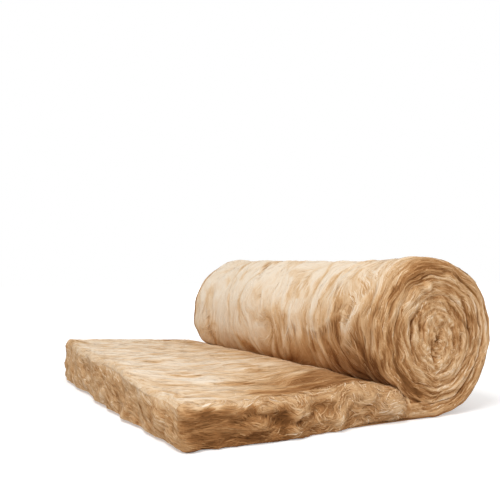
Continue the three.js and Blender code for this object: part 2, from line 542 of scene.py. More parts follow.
# Folds of the skin: points along the winding and along the axis, half the width, and the depth as a
# share of a full crease. A ridge has a depth below zero. A fold's tone is also darker, as painted
# shade, and a ridge's paler, as a painted highlight.
SKIN_FOLDS = (
    (((0.64, 0.25), (0.68, 0.215), (0.72, 0.178), (0.76, 0.158)), 0.01, 0.8),
    (((0.76, 0.158), (0.8, 0.115), (0.85, 0.068), (0.89, 0.045)), 0.012, 0.26),
    (((0.66, 0.095), (0.7, 0.062), (0.76, 0.045)), 0.01, 0.3),
    (((0.72, -0.355), (0.765, -0.378), (0.77, -0.345)), 0.006, 0.35),
    (((0.87, -0.045), (0.92, -0.105), (0.98, -0.12), (1.04, -0.085)), 0.008, 0.4),
    (((0.88, -0.215), (0.93, -0.215), (1.0, -0.228), (1.05, -0.235)), 0.007, 0.6),
    (((0.94, -0.152), (1.0, -0.158)), 0.007, 0.5),
    (((0.965, -0.23), (0.955, -0.29), (0.925, -0.36), (0.9, -0.41)), 0.006, 0.3),
    (((0.98, -0.34), (1.03, -0.36), (1.07, -0.35)), 0.01, 0.5),
    (((0.86, -0.5), (0.93, -0.465), (1.0, -0.43)), 0.006, 0.5),
    (((0.8, -0.555), (0.88, -0.53), (0.96, -0.505), (1.08, -0.475)), 0.009, 0.6),
    (((0.9, -0.575), (0.97, -0.552), (1.05, -0.53)), 0.007, 0.55),
    (((0.96, 0.447), (1.03, 0.443), (1.07, 0.42)), 0.012, 0.6),
    (((0.84, 0.062), (0.88, 0.036), (0.92, 0.046), (0.95, 0.07)), 0.008, -0.5),
    (((0.88, -0.13), (0.97, -0.141)), 0.006, -0.5),
    (((0.945, -0.225), (0.94, -0.28), (0.908, -0.35), (0.88, -0.41)), 0.007, -0.6),
    (((0.82, -0.485), (0.88, -0.47), (0.94, -0.435), (1.0, -0.395)), 0.008, -0.45),
    (((0.62, -0.4), (0.68, -0.44), (0.74, -0.465), (0.8, -0.485)), 0.008, -0.45),
)
# Browner and paler patches of the skin: place along the winding and along the axis, half the length
# and width there, and the change.
SKIN_PATCHES = (
    (0.69, 0.19, 0.04, 0.026, -0.2),
    (0.685, 0.42, 0.03, 0.1, -0.07),
    (0.915, 0.535, 0.022, 0.045, -0.16),
    (0.825, 0.43, 0.012, 0.05, -0.09),
    (0.99, 0.445, 0.05, 0.012, -0.12),
    (1.03, 0.48, 0.04, 0.05, -0.08),
    (0.935, -0.03, 0.07, 0.085, -0.22),
    (0.905, -0.39, 0.045, 0.05, 0.13),
    (0.96, -0.47, 0.06, 0.07, 0.05),
    (1.03, -0.5, 0.06, 0.07, 0.05),
    (1.02, -0.15, 0.07, 0.16, -0.04),
    (0.955, 0.05, 0.01, 0.03, 0.12),
    (0.945, -0.03, 0.012, 0.028, 0.1),
    (0.985, -0.05, 0.01, 0.028, 0.1),
    (0.985, -0.33, 0.05, 0.1, -0.06),
    (1.075, 0.03, 0.03, 0.2, -0.14),
    (0.72, -0.18, 0.03, 0.02, -0.08),
    (0.9, 0.33, 0.07, 0.11, 0.04),
    (1.07, 0.12, 0.026, 0.18, -0.12),
    (1.03, 0.435, 0.045, 0.032, -0.24),
    (0.962, 0.33, 0.04, 0.1, 0.11),
    (0.978, 0.205, 0.016, 0.045, -0.09),
    (0.936, 0.262, 0.012, 0.04, -0.07),
    (1.03, 0.33, 0.035, 0.06, 0.1),
    (1.0, 0.27, 0.02, 0.05, 0.06),
)
# Lumps of the outer turn: place, half the length and width, and height.
LUMPS = (
    (1.05, 0.53, 0.05, 0.09, 0.02),
    (0.661, 0.484, 0.07, 0.05, 0.005),
    (0.688, -0.388, 0.07, 0.07, -0.004),
    (0.671, -0.501, 0.06, 0.05, 0.004),
    (1.065, -0.04, 0.05, 0.1, 0.015),
    (1.04, 0.3, 0.05, 0.08, -0.006),
    (0.93, -0.02, 0.06, 0.06, 0.006),
)

# Folds of the near end: points from the roll's axis, rightwards and up, half the fold's width, and
# its depth as a share of a full crease. A fold's tone is also darker, as painted shade.
END_FOLDS = (
    (((-0.122, 0.124), (-0.152, 0.118), (-0.169, 0.092)), 0.0035, 1.0),
    (((-0.152, 0.079), (-0.166, 0.016), (-0.173, -0.034), (-0.17, -0.089)), 0.005, 1.0),
    (((-0.179, 0.072), (-0.186, 0.017), (-0.189, -0.038), (-0.177, -0.103)), 0.0035, 1.0),
    (((-0.131, -0.02), (-0.127, -0.054), (-0.107, -0.078), (-0.084, -0.103)), 0.0055, 1.0),
    (((-0.117, -0.108), (-0.098, -0.145), (-0.071, -0.174)), 0.006, 1.0),
    (((-0.133, -0.1), (-0.112, -0.135), (-0.09, -0.16)), 0.0035, 1.0),
    (
        ((-0.073, -0.107), (-0.056, -0.134), (-0.011, -0.153), (0.014, -0.164), (0.05, -0.154)),
        0.004,
        1.0,
    ),
    (((0.042, 0.074), (0.071, 0.054), (0.097, 0.026), (0.12, -0.002), (0.127, -0.041)), 0.005, 1.0),
    (((-0.086, 0.03), (-0.087, -0.018), (-0.08, -0.047)), 0.0035, 1.0),
    (((-0.056, 0.052), (-0.062, 0.008)), 0.0045, 1.0),
    (((0.021, 0.026), (0.016, -0.003), (-0.003, -0.031)), 0.005, 0.7),
    (((-0.017, -0.02), (-0.013, -0.043), (0.004, -0.057)), 0.003, 1.0),
    (((-0.021, -0.048), (-0.014, -0.07), (-0.01, -0.088)), 0.003, 1.0),
    (((0.05, 0.018), (0.067, -0.013), (0.063, -0.037)), 0.0035, 1.0),
    (((0.089, -0.006), (0.085, -0.046)), 0.0035, 1.0),
    (((-0.052, 0.108), (-0.03, 0.105), (-0.014, 0.114)), 0.004, 1.0),
    (((-0.054, 0.15), (-0.019, 0.163), (0.025, 0.154)), 0.005, 1.0),
    (((0.017, 0.17), (0.061, 0.156), (0.095, 0.137)), 0.004, 1.0),
    (((0.09, 0.094), (0.109, 0.058), (0.128, 0.025)), 0.003, 1.0),
    (((-0.082, -0.103), (-0.077, -0.135), (-0.06, -0.17)), 0.0035, 1.1),
    (((-0.07, -0.109), (-0.025, -0.149), (-0.004, -0.172)), 0.004, 1.1),
    (((0.014, -0.169), (0.05, -0.156), (0.087, -0.157)), 0.0035, 1.0),
    (((-0.116, -0.169), (-0.105, -0.196), (-0.088, -0.21)), 0.0045, 0.9),
    (((-0.108, -0.17), (-0.077, -0.173), (-0.05, -0.186), (-0.036, -0.2)), 0.0035, 0.8),
    (((0.112, 0.031), (0.131, -0.016), (0.142, -0.085)), 0.003, 0.8),
    (((0.151, 0.051), (0.174, -0.019), (0.169, -0.087)), 0.003, 0.7),
    (((0.129, 0.129), (0.167, 0.084), (0.19, 0.028), (0.194, -0.02)), 0.0028, 0.6),
    (
        ((0.098, 0.086), (0.128, 0.036), (0.15, -0.026), (0.157, -0.086), (0.133, -0.139)),
        0.0028,
        0.7,
    ),
    (((-0.15, -0.048), (-0.131, -0.092), (-0.098, -0.14), (-0.071, -0.174)), 0.003, 0.9),
    (((-0.137, -0.036), (-0.117, -0.083), (-0.091, -0.121), (-0.057, -0.16)), 0.0026, 0.7),
    (((-0.163, -0.009), (-0.154, -0.065), (-0.124, -0.118), (-0.098, -0.156)), 0.003, 0.8),
    (((0.069, -0.177), (0.102, -0.169), (0.125, -0.155)), 0.003, 0.6),
    (((-0.039, -0.109), (-0.021, -0.126), (0.0, -0.123)), 0.003, 0.7),
    (((0.014, -0.124), (0.036, -0.136), (0.058, -0.122)), 0.003, 0.7),
)
# A lump of wool that has worked out of the near end, and its radius.
END_KNOB = (-0.037, 0.122, 0.015)

# Browner and paler patches of the near end: place from the axis, half the width and height, and
# the change.
END_PATCHES = (
    (-0.12, -0.105, 0.035, 0.055, -0.17),
    (-0.165, 0.02, 0.018, 0.1, -0.07),
    (-0.06, 0.14, 0.045, 0.025, -0.09),
    (0.06, 0.16, 0.06, 0.016, -0.07),
    (0.11, 0.0, 0.016, 0.06, -0.06),
    (0.16, 0.04, 0.03, 0.11, 0.07),
    (-0.095, 0.0, 0.014, 0.06, 0.06),
    (0.03, 0.01, 0.016, 0.025, 0.06),
    (0.002, -0.012, 0.012, 0.022, -0.09),
    (-0.05, -0.16, 0.03, 0.022, -0.07),
    (0.08, -0.15, 0.06, 0.03, 0.05),
)


def fold_depth(x, z, points, width):
    """How deep a fold along these points is at each place, from 0 to 1."""
    depth = np.zeros(x.shape)
    for (x0, z0), (x1, z1) in zip(points, points[1:]):
        run = (x1 - x0) ** 2 + (z1 - z0) ** 2
        part = np.clip(((x - x0) * (x1 - x0) + (z - z0) * (z1 - z0)) / run, 0, 1)
        away = np.hypot(x - x0 - part * (x1 - x0), z - z0 - part * (z1 - z0))
        depth = np.maximum(depth, hill(away, 0, width))
    return depth


def creases(s, fibre, long, wide, seed):
    """Broken creases along the fibres, from 0 to 1 in their middle."""
    line = noise(s / long, fibre / wide, seed)
    broken = smooth(noise(s / (0.6 * long), fibre / (2.5 * wide), seed + 1), -0.10, 0.45)
    return hill(line, 0, CREASE_SHARP) * broken


def bundles(s, fibre, long, wide, narrow, seed):
    """Rounded bundles of fibres, from 0 to about 1, and the narrow splits between them."""
    ridge = noise(s / long, fibre / wide, seed)
    ridge = ridge + 0.35 * noise(s / (0.5 * long), fibre / (0.45 * wide), seed + 1)
    return np.minimum(1.6 * np.abs(ridge), 1.2), hill(ridge, 0, narrow)


def wound_zones(patch, st):
    """Shares from 0 to 1 that say where on the roll each point of the wound wool lies."""
    s, a = patch.along, patch.across
    x, z = patch.rest[..., 0], patch.rest[..., 2]
    end = smooth(np.abs(a), WIDTH / 2 + RIM_START, WIDTH / 2 + RIM_END)
    skin = 1 - end
    low = 1 - smooth(z, 0.04, 0.38)
    near = smooth(-a, 0.18, 0.54) * (1 - smooth(z, 0.26, 0.40))
    ragged = a + 0.022 * layers(s / 0.11, a / 0.05, 75)
    rim = smooth(-ragged, 0.46, 0.57) * skin + 0.5 * smooth(ragged, 0.49, 0.58) * skin
    upper_near = 0.7 * smooth(-a, 0.20, 0.42)
    radius = np.hypot(x - st.axis_x, z - st.axis_z)
    return SimpleNamespace(
        end=end,
        skin=skin,
        low=low,
        near=near,
        rim=rim,
        core=end * (1 - smooth(radius, 0.06, 0.15)),
        hang=skin * smooth(near + 0.6 * low, 0.25, 0.9),
        busy=0.30 + 0.70 * np.maximum.reduce([near, rim, end, upper_near]) + 0.20 * low * skin,
    )


def wound_flow(s, a, zone):
    """The fibre line that passes each point of the wound wool."""
    wander = (0.085 - 0.077 * zone.end) * layers(s / 0.40, a / 0.28, 11)
    wander = wander + (0.030 - 0.027 * zone.end) * layers(s / 0.17, a / 0.10, 12)
    wander = wander + spots(s, a, WHIRLS)
    leaning = smooth(s, 0.74, 0.88) * (1 - smooth(s, 1.04, 1.12)) * zone.skin
    return a + wander - 0.5 * (s - 0.95) * smooth(-a, 0.30, 0.44) * leaning


def wound_patterns(s, a, fibre, zone):
    """The patterns of the wound wool, which are coarse on the skin and fine on the ends."""
    bundle, split = bundles(s, fibre, 0.36, 0.0105, 0.13, 57)
    drape, furrow = bundles(s, fibre, 0.55, 0.052, 0.09, 58)
    coarse, fine = zone.skin, zone.end
    stray = 0.05 * layers(s / 0.13, a / 0.13, 19)
    cloud_line = (fibre + 0.6 * stray - 0.25 * s) / 0.060
    resin_line = (fibre + 0.8 * stray + 0.2 * s) / 0.050
    return SimpleNamespace(
        lock=coarse * layers(s / 0.26, fibre / 0.036, 14)
        + fine * layers(s / 0.20, fibre / 0.016, 17),
        strand=coarse * layers(s / 0.15, fibre / 0.012, 15)
        + fine * layers(s / 0.12, fibre / 0.0065, 18),
        hair=layers(s / 0.30, fibre / 0.0042, 59) * fine,
        bundle=bundle * fine * (1 - 0.6 * zone.core),
        split=split * fine * (1 - 0.7 * zone.core),
        drape=drape,
        furrow=furrow,
        cloud=layers((s + stray) / 0.17, cloud_line, 16, 3),
        resin=smooth(layers((s - stray) / 0.12, resin_line, 20, 3), -0.1, 0.9),
    )


def skin_details(s, a):
    """Depth of the skin's folds, and the change of its tone by its patches."""
    s, a = strayed(s, a, 0.006, 0.05, 70)
    deep = sum(depth * fold_depth(s, a, points, width) for points, width, depth in SKIN_FOLDS)
    return deep, spots(s, a, SKIN_PATCHES)


def turn_shade(patch, st, core):
    """Change of tone on an end: painted shade where two turns meet, and mottled in the core."""
    x, z = patch.rest[..., 0], patch.rest[..., 2]
    depth = np.linspace(0, 1, x.shape[1])[None, :]
    covered = smooth(st.turn[st.nip :, None], 0.84, 0.94)
    closeness = np.minimum(depth + 1 - covered, 1 - depth)
    fluff = layers(x / 0.016, z / 0.016, 72, 3)
    return 0.22 * core * fluff - 0.12 * hill(closeness, 0, 0.10) * (1 - 0.85 * core)


def near_end_details(patch, st):
    """Depth of the near end's folds, the height of its knob from 0 to 1, and its change of tone."""
    x = patch.settled[..., 0] - st.axis_x
    z = patch.settled[..., 2] - st.axis_z
    x_stray, z_stray = strayed(x, z, 0.005, 0.04, 55)
    deep = -np.ones(x.shape)
    for points, width, depth in END_FOLDS:
        fold = depth * fold_depth(x_stray, z_stray, points, END_FOLD_SPREAD * width)
        deep = np.maximum(deep, fold)

    # A hollow ring lies round the upper left of the knob, painted darker as shade.
    knob_x, knob_z, knob_radius = END_KNOB
    distance = np.hypot(x - knob_x, z - knob_z) / knob_radius
    up_left = (z - knob_z - x + knob_x) / (1.4 * knob_radius) / np.maximum(distance, 0.1)
    ring = hill(distance, 1.5, 0.35) * smooth(up_left, -0.2, 0.6)
    deep = np.maximum(deep, 0.8 * ring)
    return deep, hill(distance, 0, 1), spots(x_stray, z_stray, END_PATCHES)


def skin_tone(a, zone, wool):
    """Skin tone: palest on top, with painted shade towards the floor, the near end and the rims."""
    low, high = zone.low, 1 - zone.low
    tone = SKIN_TONE - (0.10 + 0.34 * smooth(-a, -0.20, 0.20)) * low
    tone = tone - 0.07 * smooth(-a, 0.05, 0.40) * high
    tone = tone - np.maximum(0.21 * zone.near, 0.22 * zone.rim * (1 - 0.4 * low))
    tone = tone - 0.12 * smooth(-a, 0.28, 0.44) * high + wool.shade * zone.skin
    tone = tone + (0.08 + 0.14 * low) * wool.cloud
    tone = tone + (0.07 + 0.10 * low + 0.06 * zone.near) * wool.lock
    tone = tone - (0.25 + 0.05 * low) * wool.resin
    # Painted shade in the furrows between hanging locks, and pale tones held back more towards the
    # floor.
    tone = tone + (0.08 * (wool.drape - 0.5) - 0.05 * wool.furrow) * zone.hang
    cap = 0.95 - 0.17 * low
    return np.minimum(tone, cap + 0.35 * (tone - cap))


def end_tone(z, wool):
    """Tone of an end: pale bundles that run round with the turns, and painted shade between them.
    """
    tone = END_TONE - 0.03 * smooth(z, 0.25, 0.36) + 0.08 * wool.cloud + 0.08 * wool.lock
    tone = tone + 0.11 * wool.knob + 0.09 * wool.hair
    return tone + 0.14 * (wool.bundle - 0.3) - 0.27 * wool.split + wool.shade


def wound_relief(patch, st, relief):
    """Relief of the roll's skin and ends: locks of fibres that run round with the winding."""
    s, a = patch.along, patch.across
    z = patch.rest[..., 2]
    zone = wound_zones(patch, st)
    fibre = wound_flow(s, a, zone)
    wool = wound_patterns(s, a, fibre, zone)
    end_share = 0.5 * (1 - zone.core) if patch.name == "end_near" else 0.8
    deep = 0.5 * creases(s, fibre, 0.24, 0.045, 51) * zone.hang
    deep = deep + creases(s, fibre, 0.18, 0.018, 53) * zone.end * end_share
    wool.knob = 0.0
    if patch.name == "skin":
        folds, wool.shade = skin_details(s, a)
        deep = deep + folds
    else:
        wool.shade = turn_shade(patch, st, zone.core)
    if patch.name == "end_near":
        folds, wool.knob, patches = near_end_details(patch, st)
        deep = np.maximum(deep, folds)
        wool.shade = wool.shade + patches
    deep = np.clip(deep, -0.7, 1)

    height = relief.swell * layers(s / 0.45, a / 0.33, 13) * (1 - 0.6 * zone.end)
    height = height + relief.lock * wool.lock * (0.5 + 0.5 * zone.busy)
    height = height + relief.lock * (wool.bundle + 1.3 * wool.drape * zone.hang)
    height = height + relief.strand * wool.strand * zone.busy
    height = height - relief.crease * deep * (1 - 0.35 * zone.end)
    height = height + KNOB_HEIGHT * wool.knob + spots(s, a, LUMPS)
    tone = skin_tone(a, zone, wool) * zone.skin + end_tone(z, wool) * zone.end
    # Painted shade: creases, folds and the knob's ring are darker by their depth.
    tone = tone + 0.11 * wool.strand * zone.busy - 0.27 * deep
    return height, tone, fibre


def meet(tone, distance, shared, reach, level, seed):
    """Blends a face's tone to a level that it shares with its neighbour where they meet."""
    ragged = distance + 0.5 * reach * layers(distance / 0.02 + 3, shared / 0.03, seed)
    blend = 1 - smooth(ragged, 0, reach)
    return tone + (level + 0.09 * noise(shared / 0.035, 0 * shared, seed + 1) - tone) * blend


# Seeds of the ragged lines where the top meets the cut end, and where it meets the sides.
CUT_LINE_SEED = 65
SIDE_LINE_SEED = 67


def edge_level(s):
    """Tone of the tail's upper edges: pale near the cut end, and browner towards the roll."""
    return 0.75 - 0.18 * smooth(s, -0.60, -0.42)


def below_top(patch):
    """How far each point of a side lies below the tail's top there."""
    return patch.rest[..., 2].max(axis=1, keepdims=True) - patch.rest[..., 2]


def curled(patch):
    """0 at the cut end's smooth corner and 1 where the tufts of a side are fully curled."""
    return smooth(patch.along - patch.along[0, 0], 0.08, 0.26)


def tail_relief(patch, st, relief):
    """Relief of the tail's top: long combed strands with soft waves."""
    s, a = patch.along, patch.across
    x = patch.rest[..., 0]
    from_cut = x - LOW[0]
    near, far = smooth(-a, 0.20, 0.55), smooth(a, 0.05, 0.45)
    fibre = a + 0.032 * layers(s / 0.28, a / 0.20, 21) + 0.017 * layers(s / 0.11, a / 0.055, 22)
    # At the cut end, the strands turn over the edge.
    fibre = fibre - 0.12 * (0.75 + 0.6 * noise(a / 0.16, 0 * a, 28)) * np.exp(-from_cut / 0.035)
    lock = layers(s / 0.24, fibre / 0.030, 24)
    strand = layers(s / 0.13, fibre / 0.012, 25)
    height = relief.swell * layers(s / 0.40, a / 0.26, 23) + relief.lock * lock
    height = 0.9 * (height + relief.strand * strand)
    before_nip = smooth(x, st.nip_x - 0.12, st.nip_x - 0.02)
    height = height - NIP_DENT * hill(a, -0.04, 0.10) * before_nip

    # Painted shade: the top browns where it runs in under the roll, more so along its near side,
    # and most in the nip.
    shaded = smooth(x + 0.11 * near, st.nip_x - 0.46, st.nip_x - 0.12)
    cloud = layers(s / 0.20, fibre / 0.060, 26, 3)
    resin = smooth(layers(s / 0.11, fibre / 0.026, 27, 3), 0.0, 0.9)
    tone = TOP_TONE - 0.07 * near + 0.02 * far - 0.38 * shaded * (0.55 + 0.95 * near)
    tone = tone - 0.40 * smooth(x, st.nip_x - 0.050, st.nip_x)
    tone = tone + 0.09 * cloud + 0.09 * lock
    tone = tone + (0.14 + 0.10 * far) * strand - (0.28 + 0.14 * far) * resin
    at_corner = smooth(a, 0.30, 0.52)
    reach, level = 0.026 + 0.030 * at_corner, 0.76 - 0.16 * at_corner
    tone = meet(tone, from_cut - 0.002, a, reach, level, CUT_LINE_SEED)
    tone = meet(tone, WIDTH / 2 - np.abs(a), s, 0.020, edge_level(s), SIDE_LINE_SEED)
    return height, tone, fibre


# Hollows and pale tufts of the near side: place along the tail and up, half the length and height
# there, and the change of tone. A hollow's darker tone is painted shade.
SIDE_SPOTS = (
    (-0.598, 0.052, 0.02, 0.014, -0.16),
    (-0.571, 0.02, 0.024, 0.012, -0.14),
    (-0.533, 0.02, 0.022, 0.01, -0.12),
    (-0.477, 0.052, 0.02, 0.016, -0.22),
    (-0.431, 0.028, 0.018, 0.01, -0.16),
    (-0.337, 0.046, 0.012, 0.016, -0.2),
    (-0.381, 0.074, 0.026, 0.008, -0.14),
    (-0.287, 0.018, 0.026, 0.01, -0.14),
    (-0.265, 0.07, 0.02, 0.008, -0.12),
    (-0.606, 0.078, 0.016, 0.008, 0.14),
    (-0.573, 0.062, 0.016, 0.006, 0.12),
    (-0.533, 0.074, 0.02, 0.007, 0.14),
    (-0.499, 0.078, 0.014, 0.007, 0.1),
    (-0.445, 0.064, 0.01, 0.012, 0.16),
    (-0.312, 0.05, 0.008, 0.02, 0.16),
    (-0.533, 0.042, 0.014, 0.008, 0.1),
    (-0.459, 0.022, 0.014, 0.006, 0.14),
    (-0.403, 0.09, 0.02, 0.008, 0.12),
    (-0.215, 0.07, 0.026, 0.01, -0.1),
    (-0.18, 0.046, 0.016, 0.02, -0.12),
    (-0.235, 0.03, 0.024, 0.008, -0.1),
    (-0.15, 0.02, 0.02, 0.01, -0.08),
)


def side_relief(patch, st, relief):
    """Relief of the tail's sides: layers at the cut end, and curled tufts along the rest."""
    s, a = patch.along, patch.across
    z = patch.rest[..., 2]
    curl = curled(patch)
    fibre = 0.7 * z + (0.006 + 0.044 * curl) * layers(s / 0.105, a / 0.065, 31)
    tuft = billows(s / 0.095, a / 0.065, 32) * (0.35 + 0.65 * curl)
    layer = noise(s / 0.09, fibre / 0.012, 34) * (1 - curl)
    strand = layers(s / 0.05, fibre / 0.009, 33)
    calm = smooth(below_top(patch), 0.0, 0.045)
    tuft_height = relief.tuft * tuft * (1 - 0.5 * smooth(s, -0.24, -0.14))
    height = (tuft_height + 0.5 * relief.crease * layer) * calm + 0.8 * relief.strand * strand
    marks = 0.0
    if patch.name == "side_near":
        s_stray = s + 0.006 * layers(s / 0.03, a / 0.03, 76)
        z_stray = patch.settled[..., 2] + 0.005 * layers(s / 0.03, a / 0.03, 77)
        marks = spots(s_stray, z_stray, SIDE_SPOTS)
    fold_s = st.nip_x - st.axis_x - 0.012
    fold = hill(s, fold_s, 0.010) * (0.25 + 0.75 * smooth(z, 0.015, 0.075))
    height = height + SPOT_DEPTH * marks - NIP_FOLD * fold + 0.004 * hill(s, fold_s - 0.035, 0.024)

    # Painted shade: the hollows between tufts, the near side's hollows and the fold at the roll are
    # darker.
    tone = SIDE_TONE + 0.33 * smooth(s, -0.56, -0.20) + (0.18 + 0.08 * curl) * tuft * calm + marks
    tone = tone + 0.16 * layer + (0.11 + 0.04 * curl) * strand - 0.30 * fold
    tone = tone + 0.10 * layers(s / 0.05, fibre / 0.03, 35, 3)
    tone = tone + 0.10 * curl * noise(s / 0.012, a / 0.012, 79)
    tone = np.minimum(tone, SIDE_PALEST + 0.4 * (tone - SIDE_PALEST))
    reach = 0.016 + 0.020 * smooth(s, -0.58, -0.40)
    below = below_top(patch) - 0.006
    tone = meet(tone, below, s, reach, edge_level(s) - 0.04, SIDE_LINE_SEED)
    from_corner = s - s[0, 0] + 0.016 * layers(a / 0.03, s / 0.02, 69)
    tone = tone + (SIDE_CORNER_TONE - tone) * (1 - smooth(from_corner, 0.0, 0.026))
    # Painted shade: the side is darker in its lowest 14 mm, along the floor.
    return height, tone - 0.10 * (1 - smooth(z, 0.0, 0.014)), fibre


def cut_relief(patch, st, relief):
    """Relief of the cut end: short fibres that lie aslant, in soft lumps."""
    height_up, a = patch.along, patch.across
    from_top = height_up.max() - height_up
    fibre = height_up - 0.35 * a + 0.012 * layers(height_up / 0.06, a / 0.12, 41)
    tuft = billows(height_up / 0.060, a / 0.100, 42)
    strand = layers(fibre / 0.009, a / 0.045, 43)
    mottle = layers(fibre / 0.030, a / 0.060, 44, 3)
    height = 0.26 * relief.tuft * tuft * smooth(from_top, 0.0, 0.040) + 0.6 * relief.strand * strand
    tone = CUT_TONE + 0.06 * smooth(a, -0.05, 0.35) + 0.05 * tuft + 0.13 * strand + 0.13 * mottle
    level = 0.68 - 0.06 * smooth(a, 0.30, 0.52)
    tone = meet(tone, from_top - 0.002, a, 0.018, level, CUT_LINE_SEED)
    from_corner = WIDTH / 2 - np.abs(a) + 0.01 * noise(a / 0.02, height_up / 0.02, 69)
    tone = tone + (CUT_CORNER_TONE - tone) * (1 - smooth(from_corner, 0.0, 0.03))
    # Painted shade: the cut end is darker in its lowest 12 mm, along the floor.
    return height, tone - 0.08 * (1 - smooth(height_up, 0.0, 0.012)), fibre


def floor_relief(patch, st, relief):
    """The underside is flat where it rests."""
    flat = 0 * patch.along
    return flat, flat + FLOOR_TONE, patch.across


RELIEFS = {
    "top": tail_relief,
    "floor": floor_relief,
    "skin": wound_relief,
    "cut_end": cut_relief,
    "side_near": side_relief,
    "side_far": side_relief,
    "end_near": wound_relief,
    "end_far": wound_relief,
}


# --- The blanket settles --------------------------------------------------------------------------

# How far the roll strays from round: angle from its top towards the right, half the span in degrees
# and the change of its radius.
ROLL_STRAYS = (
    (-50, 30, 0.003),
    (-16, 14, 0.003),
    (22, 18, -0.007),
    (58, 20, 0.005),
    (108, 22, -0.008),
    (145, 16, 0.002),
)
# The far end bulges to the lower left: angle, half the span in degrees, and how far.
FAR_BULGE = ((-112, 26, 0.010),)
# Dents of the cut end's foot: place across the blanket, half the width and depth.
CUT_DENTS = ((0.16, 0.10, 0.006), (-0.205, 0.045, -0.010), (0.57, 0.07, 0.012))
# Dents of the near side's foot: place along the tail, half the length and depth.
FOOT_DENTS = ((-0.21, 0.08, -0.014), (-0.43, 0.10, 0.007))
EYE_WIDTH, EYE_HEIGHT = 0.014, 0.024  # half the size of the hollow at the middle of an end
FOOT_DRAW = 0.020  # how far the near side's foot draws in under the roll
FOOT_RAGGED = 0.007


def settle(patch, st, sizes):
    """Lets the wool sag and stray as a whole, so that no turn and no edge stays exact."""
    x, y, z = np.moveaxis(patch.rest, -1, 0)
    in_roll = smooth(x, st.nip_x - 0.02, st.nip_x + 0.05) + smooth(z, 0.14, 0.18)
    in_roll = np.clip(in_roll, 0, 1)
    place = settle_roll(x, y, z, in_roll, st, sizes)
    return np.stack(settle_tail(*place, np.sign(y), 1 - in_roll, st, sizes), axis=-1)


def settle_roll(x, y, z, in_roll, st, sizes):
    """The roll sags, leaves its round shape, and bulges at its far end."""
    dx, dz = x - st.axis_x, z - st.axis_z
    side = np.sign(y)
    out = np.hypot(dx, dz) / st.axis_z  # 0 at the axis and 1 on the skin
    inner = in_roll * np.clip(1 - out**2, 0, 1)
    middle = 1 - (2 * y / WIDTH) ** 2
    slim = 1 - in_roll * smooth(z, 0.05, 0.20) * sizes.waist * middle / st.axis_z
    core_sag = sizes.core_sag * inner**1.5
    x = st.axis_x + dx * slim * (1 - sizes.core_squeeze * inner**3) + 0.4 * core_sag
    z = st.axis_z + dz * slim - core_sag
    angle = np.degrees(np.arctan2(dx, dz))
    stray = in_roll * hills(angle, ROLL_STRAYS) * np.minimum(out, 1) / st.axis_z
    x = x + stray * dx
    z = z + stray * dz
    x = x - in_roll * hills(angle, FAR_BULGE) * out * smooth(y, 0.30, WIDTH / 2)
    wander = sizes.turn_wander * np.minimum(3 * inner, 1)
    x = x + wander * layers(dx / 0.07, dz / 0.07 + 9 * side, 61)
    z = z + wander * layers(dx / 0.07, dz / 0.07 + 9 * side, 62)
    eye = np.exp(-((dx / EYE_WIDTH) ** 2) - ((dz / EYE_HEIGHT) ** 2)) * in_roll
    y = y - side * sizes.eye_depth * eye
    low_left = smooth(-dx - dz, -0.05, 0.15)
    foot = smooth(-dz, 0.06, 0.17) * smooth(-dx, -0.02, 0.10)
    bulge = sizes.end_bulge * in_roll * (0.9 * low_left + 0.5 * foot)
    return x, y + bulge * smooth(y, WIDTH / 2 - 0.10, WIDTH / 2), z


def settle_tail(x, y, z, side, free, st, sizes):
    """The tail's cut faces turn ragged, its far side draws in and its near edge slumps."""
    on_side = free * smooth(np.abs(y), WIDTH / 2 - 0.06, WIDTH / 2 - 0.01)
    y = y + side * on_side * sizes.ragged * layers(x / 0.09 + 5 * side, z / 0.10, 63)
    on_cut = 1 - smooth(x, LOW[0], LOW[0] + 0.06)
    x = x - on_cut * sizes.ragged * layers(y / 0.11, z / 0.10, 64)
    x = x + on_cut * (1 - smooth(z, 0.0, 0.06)) * hills(y, CUT_DENTS)

    # Both corners of the cut end lie a little back.
    back = 1 - smooth(x, LOW[0], LOW[0] + 0.30)
    far_skew = sizes.cut_skew * (0.55 + 0.45 * smooth(z, 0.0, 0.09)) * smooth(y, 0.0, WIDTH / 2)
    near_skew = smooth(-y, 0.30, WIDTH / 2) + (1 - smooth(z, 0.0, 0.07)) * smooth(-y, 0.16, 0.30)
    x = x + (far_skew + 0.006 * near_skew) * back

    # The far corner stands up, and the near edge slumps.
    along_tail = np.clip((st.nip_x - x) / (st.nip_x - LOW[0]), 0, 1)
    high = free * smooth(z, 0.08, 0.13)
    z = z + (0.012 * along_tail - 0.003) * smooth(y, 0.30, WIDTH / 2) * high
    to_near = 0.78 * smooth(-y, 0.06, 0.47) + 0.22 * smooth(-y, 0.50, WIDTH / 2)
    slump = sizes.near_slump * to_near * (1 - smooth(x, -0.22, 0.08)) * free
    z = z * (1 - slump / sizes.cut_loft)

    # The foot of the near side runs in and out, and the far side draws in towards the cut end.
    at_foot = (1 - smooth(z, 0.0, 0.045)) * smooth(-y, WIDTH / 2 - 0.05, WIDTH / 2)
    draw = FOOT_DRAW * smooth(x, -0.10, 0.06) * (1 - smooth(x, 0.14, 0.26)) + hills(x, FOOT_DENTS)
    draw = draw + FOOT_RAGGED * layers(x / 0.035, 0 * x + 4, 78)
    y = y + draw * at_foot
    y = y - sizes.far_draw * smooth(y, 0.25, WIDTH / 2) * along_tail
    return x, y, z


def dress(patch, st, settings):
    """Gives a patch its final points, and the tone and fibre line at each."""
    patch.settled = settle(patch, st, settings.blanket)
    height, patch.tone, patch.fibre = RELIEFS[patch.name](patch, st, settings.relief)
    height = height * smooth(patch.rest[..., 2], 0.0, 0.03)
    patch.points = patch.settled + patch.normal * height[..., None]
    patch.points[..., 2] = np.maximum(patch.points[..., 2], 0.0)


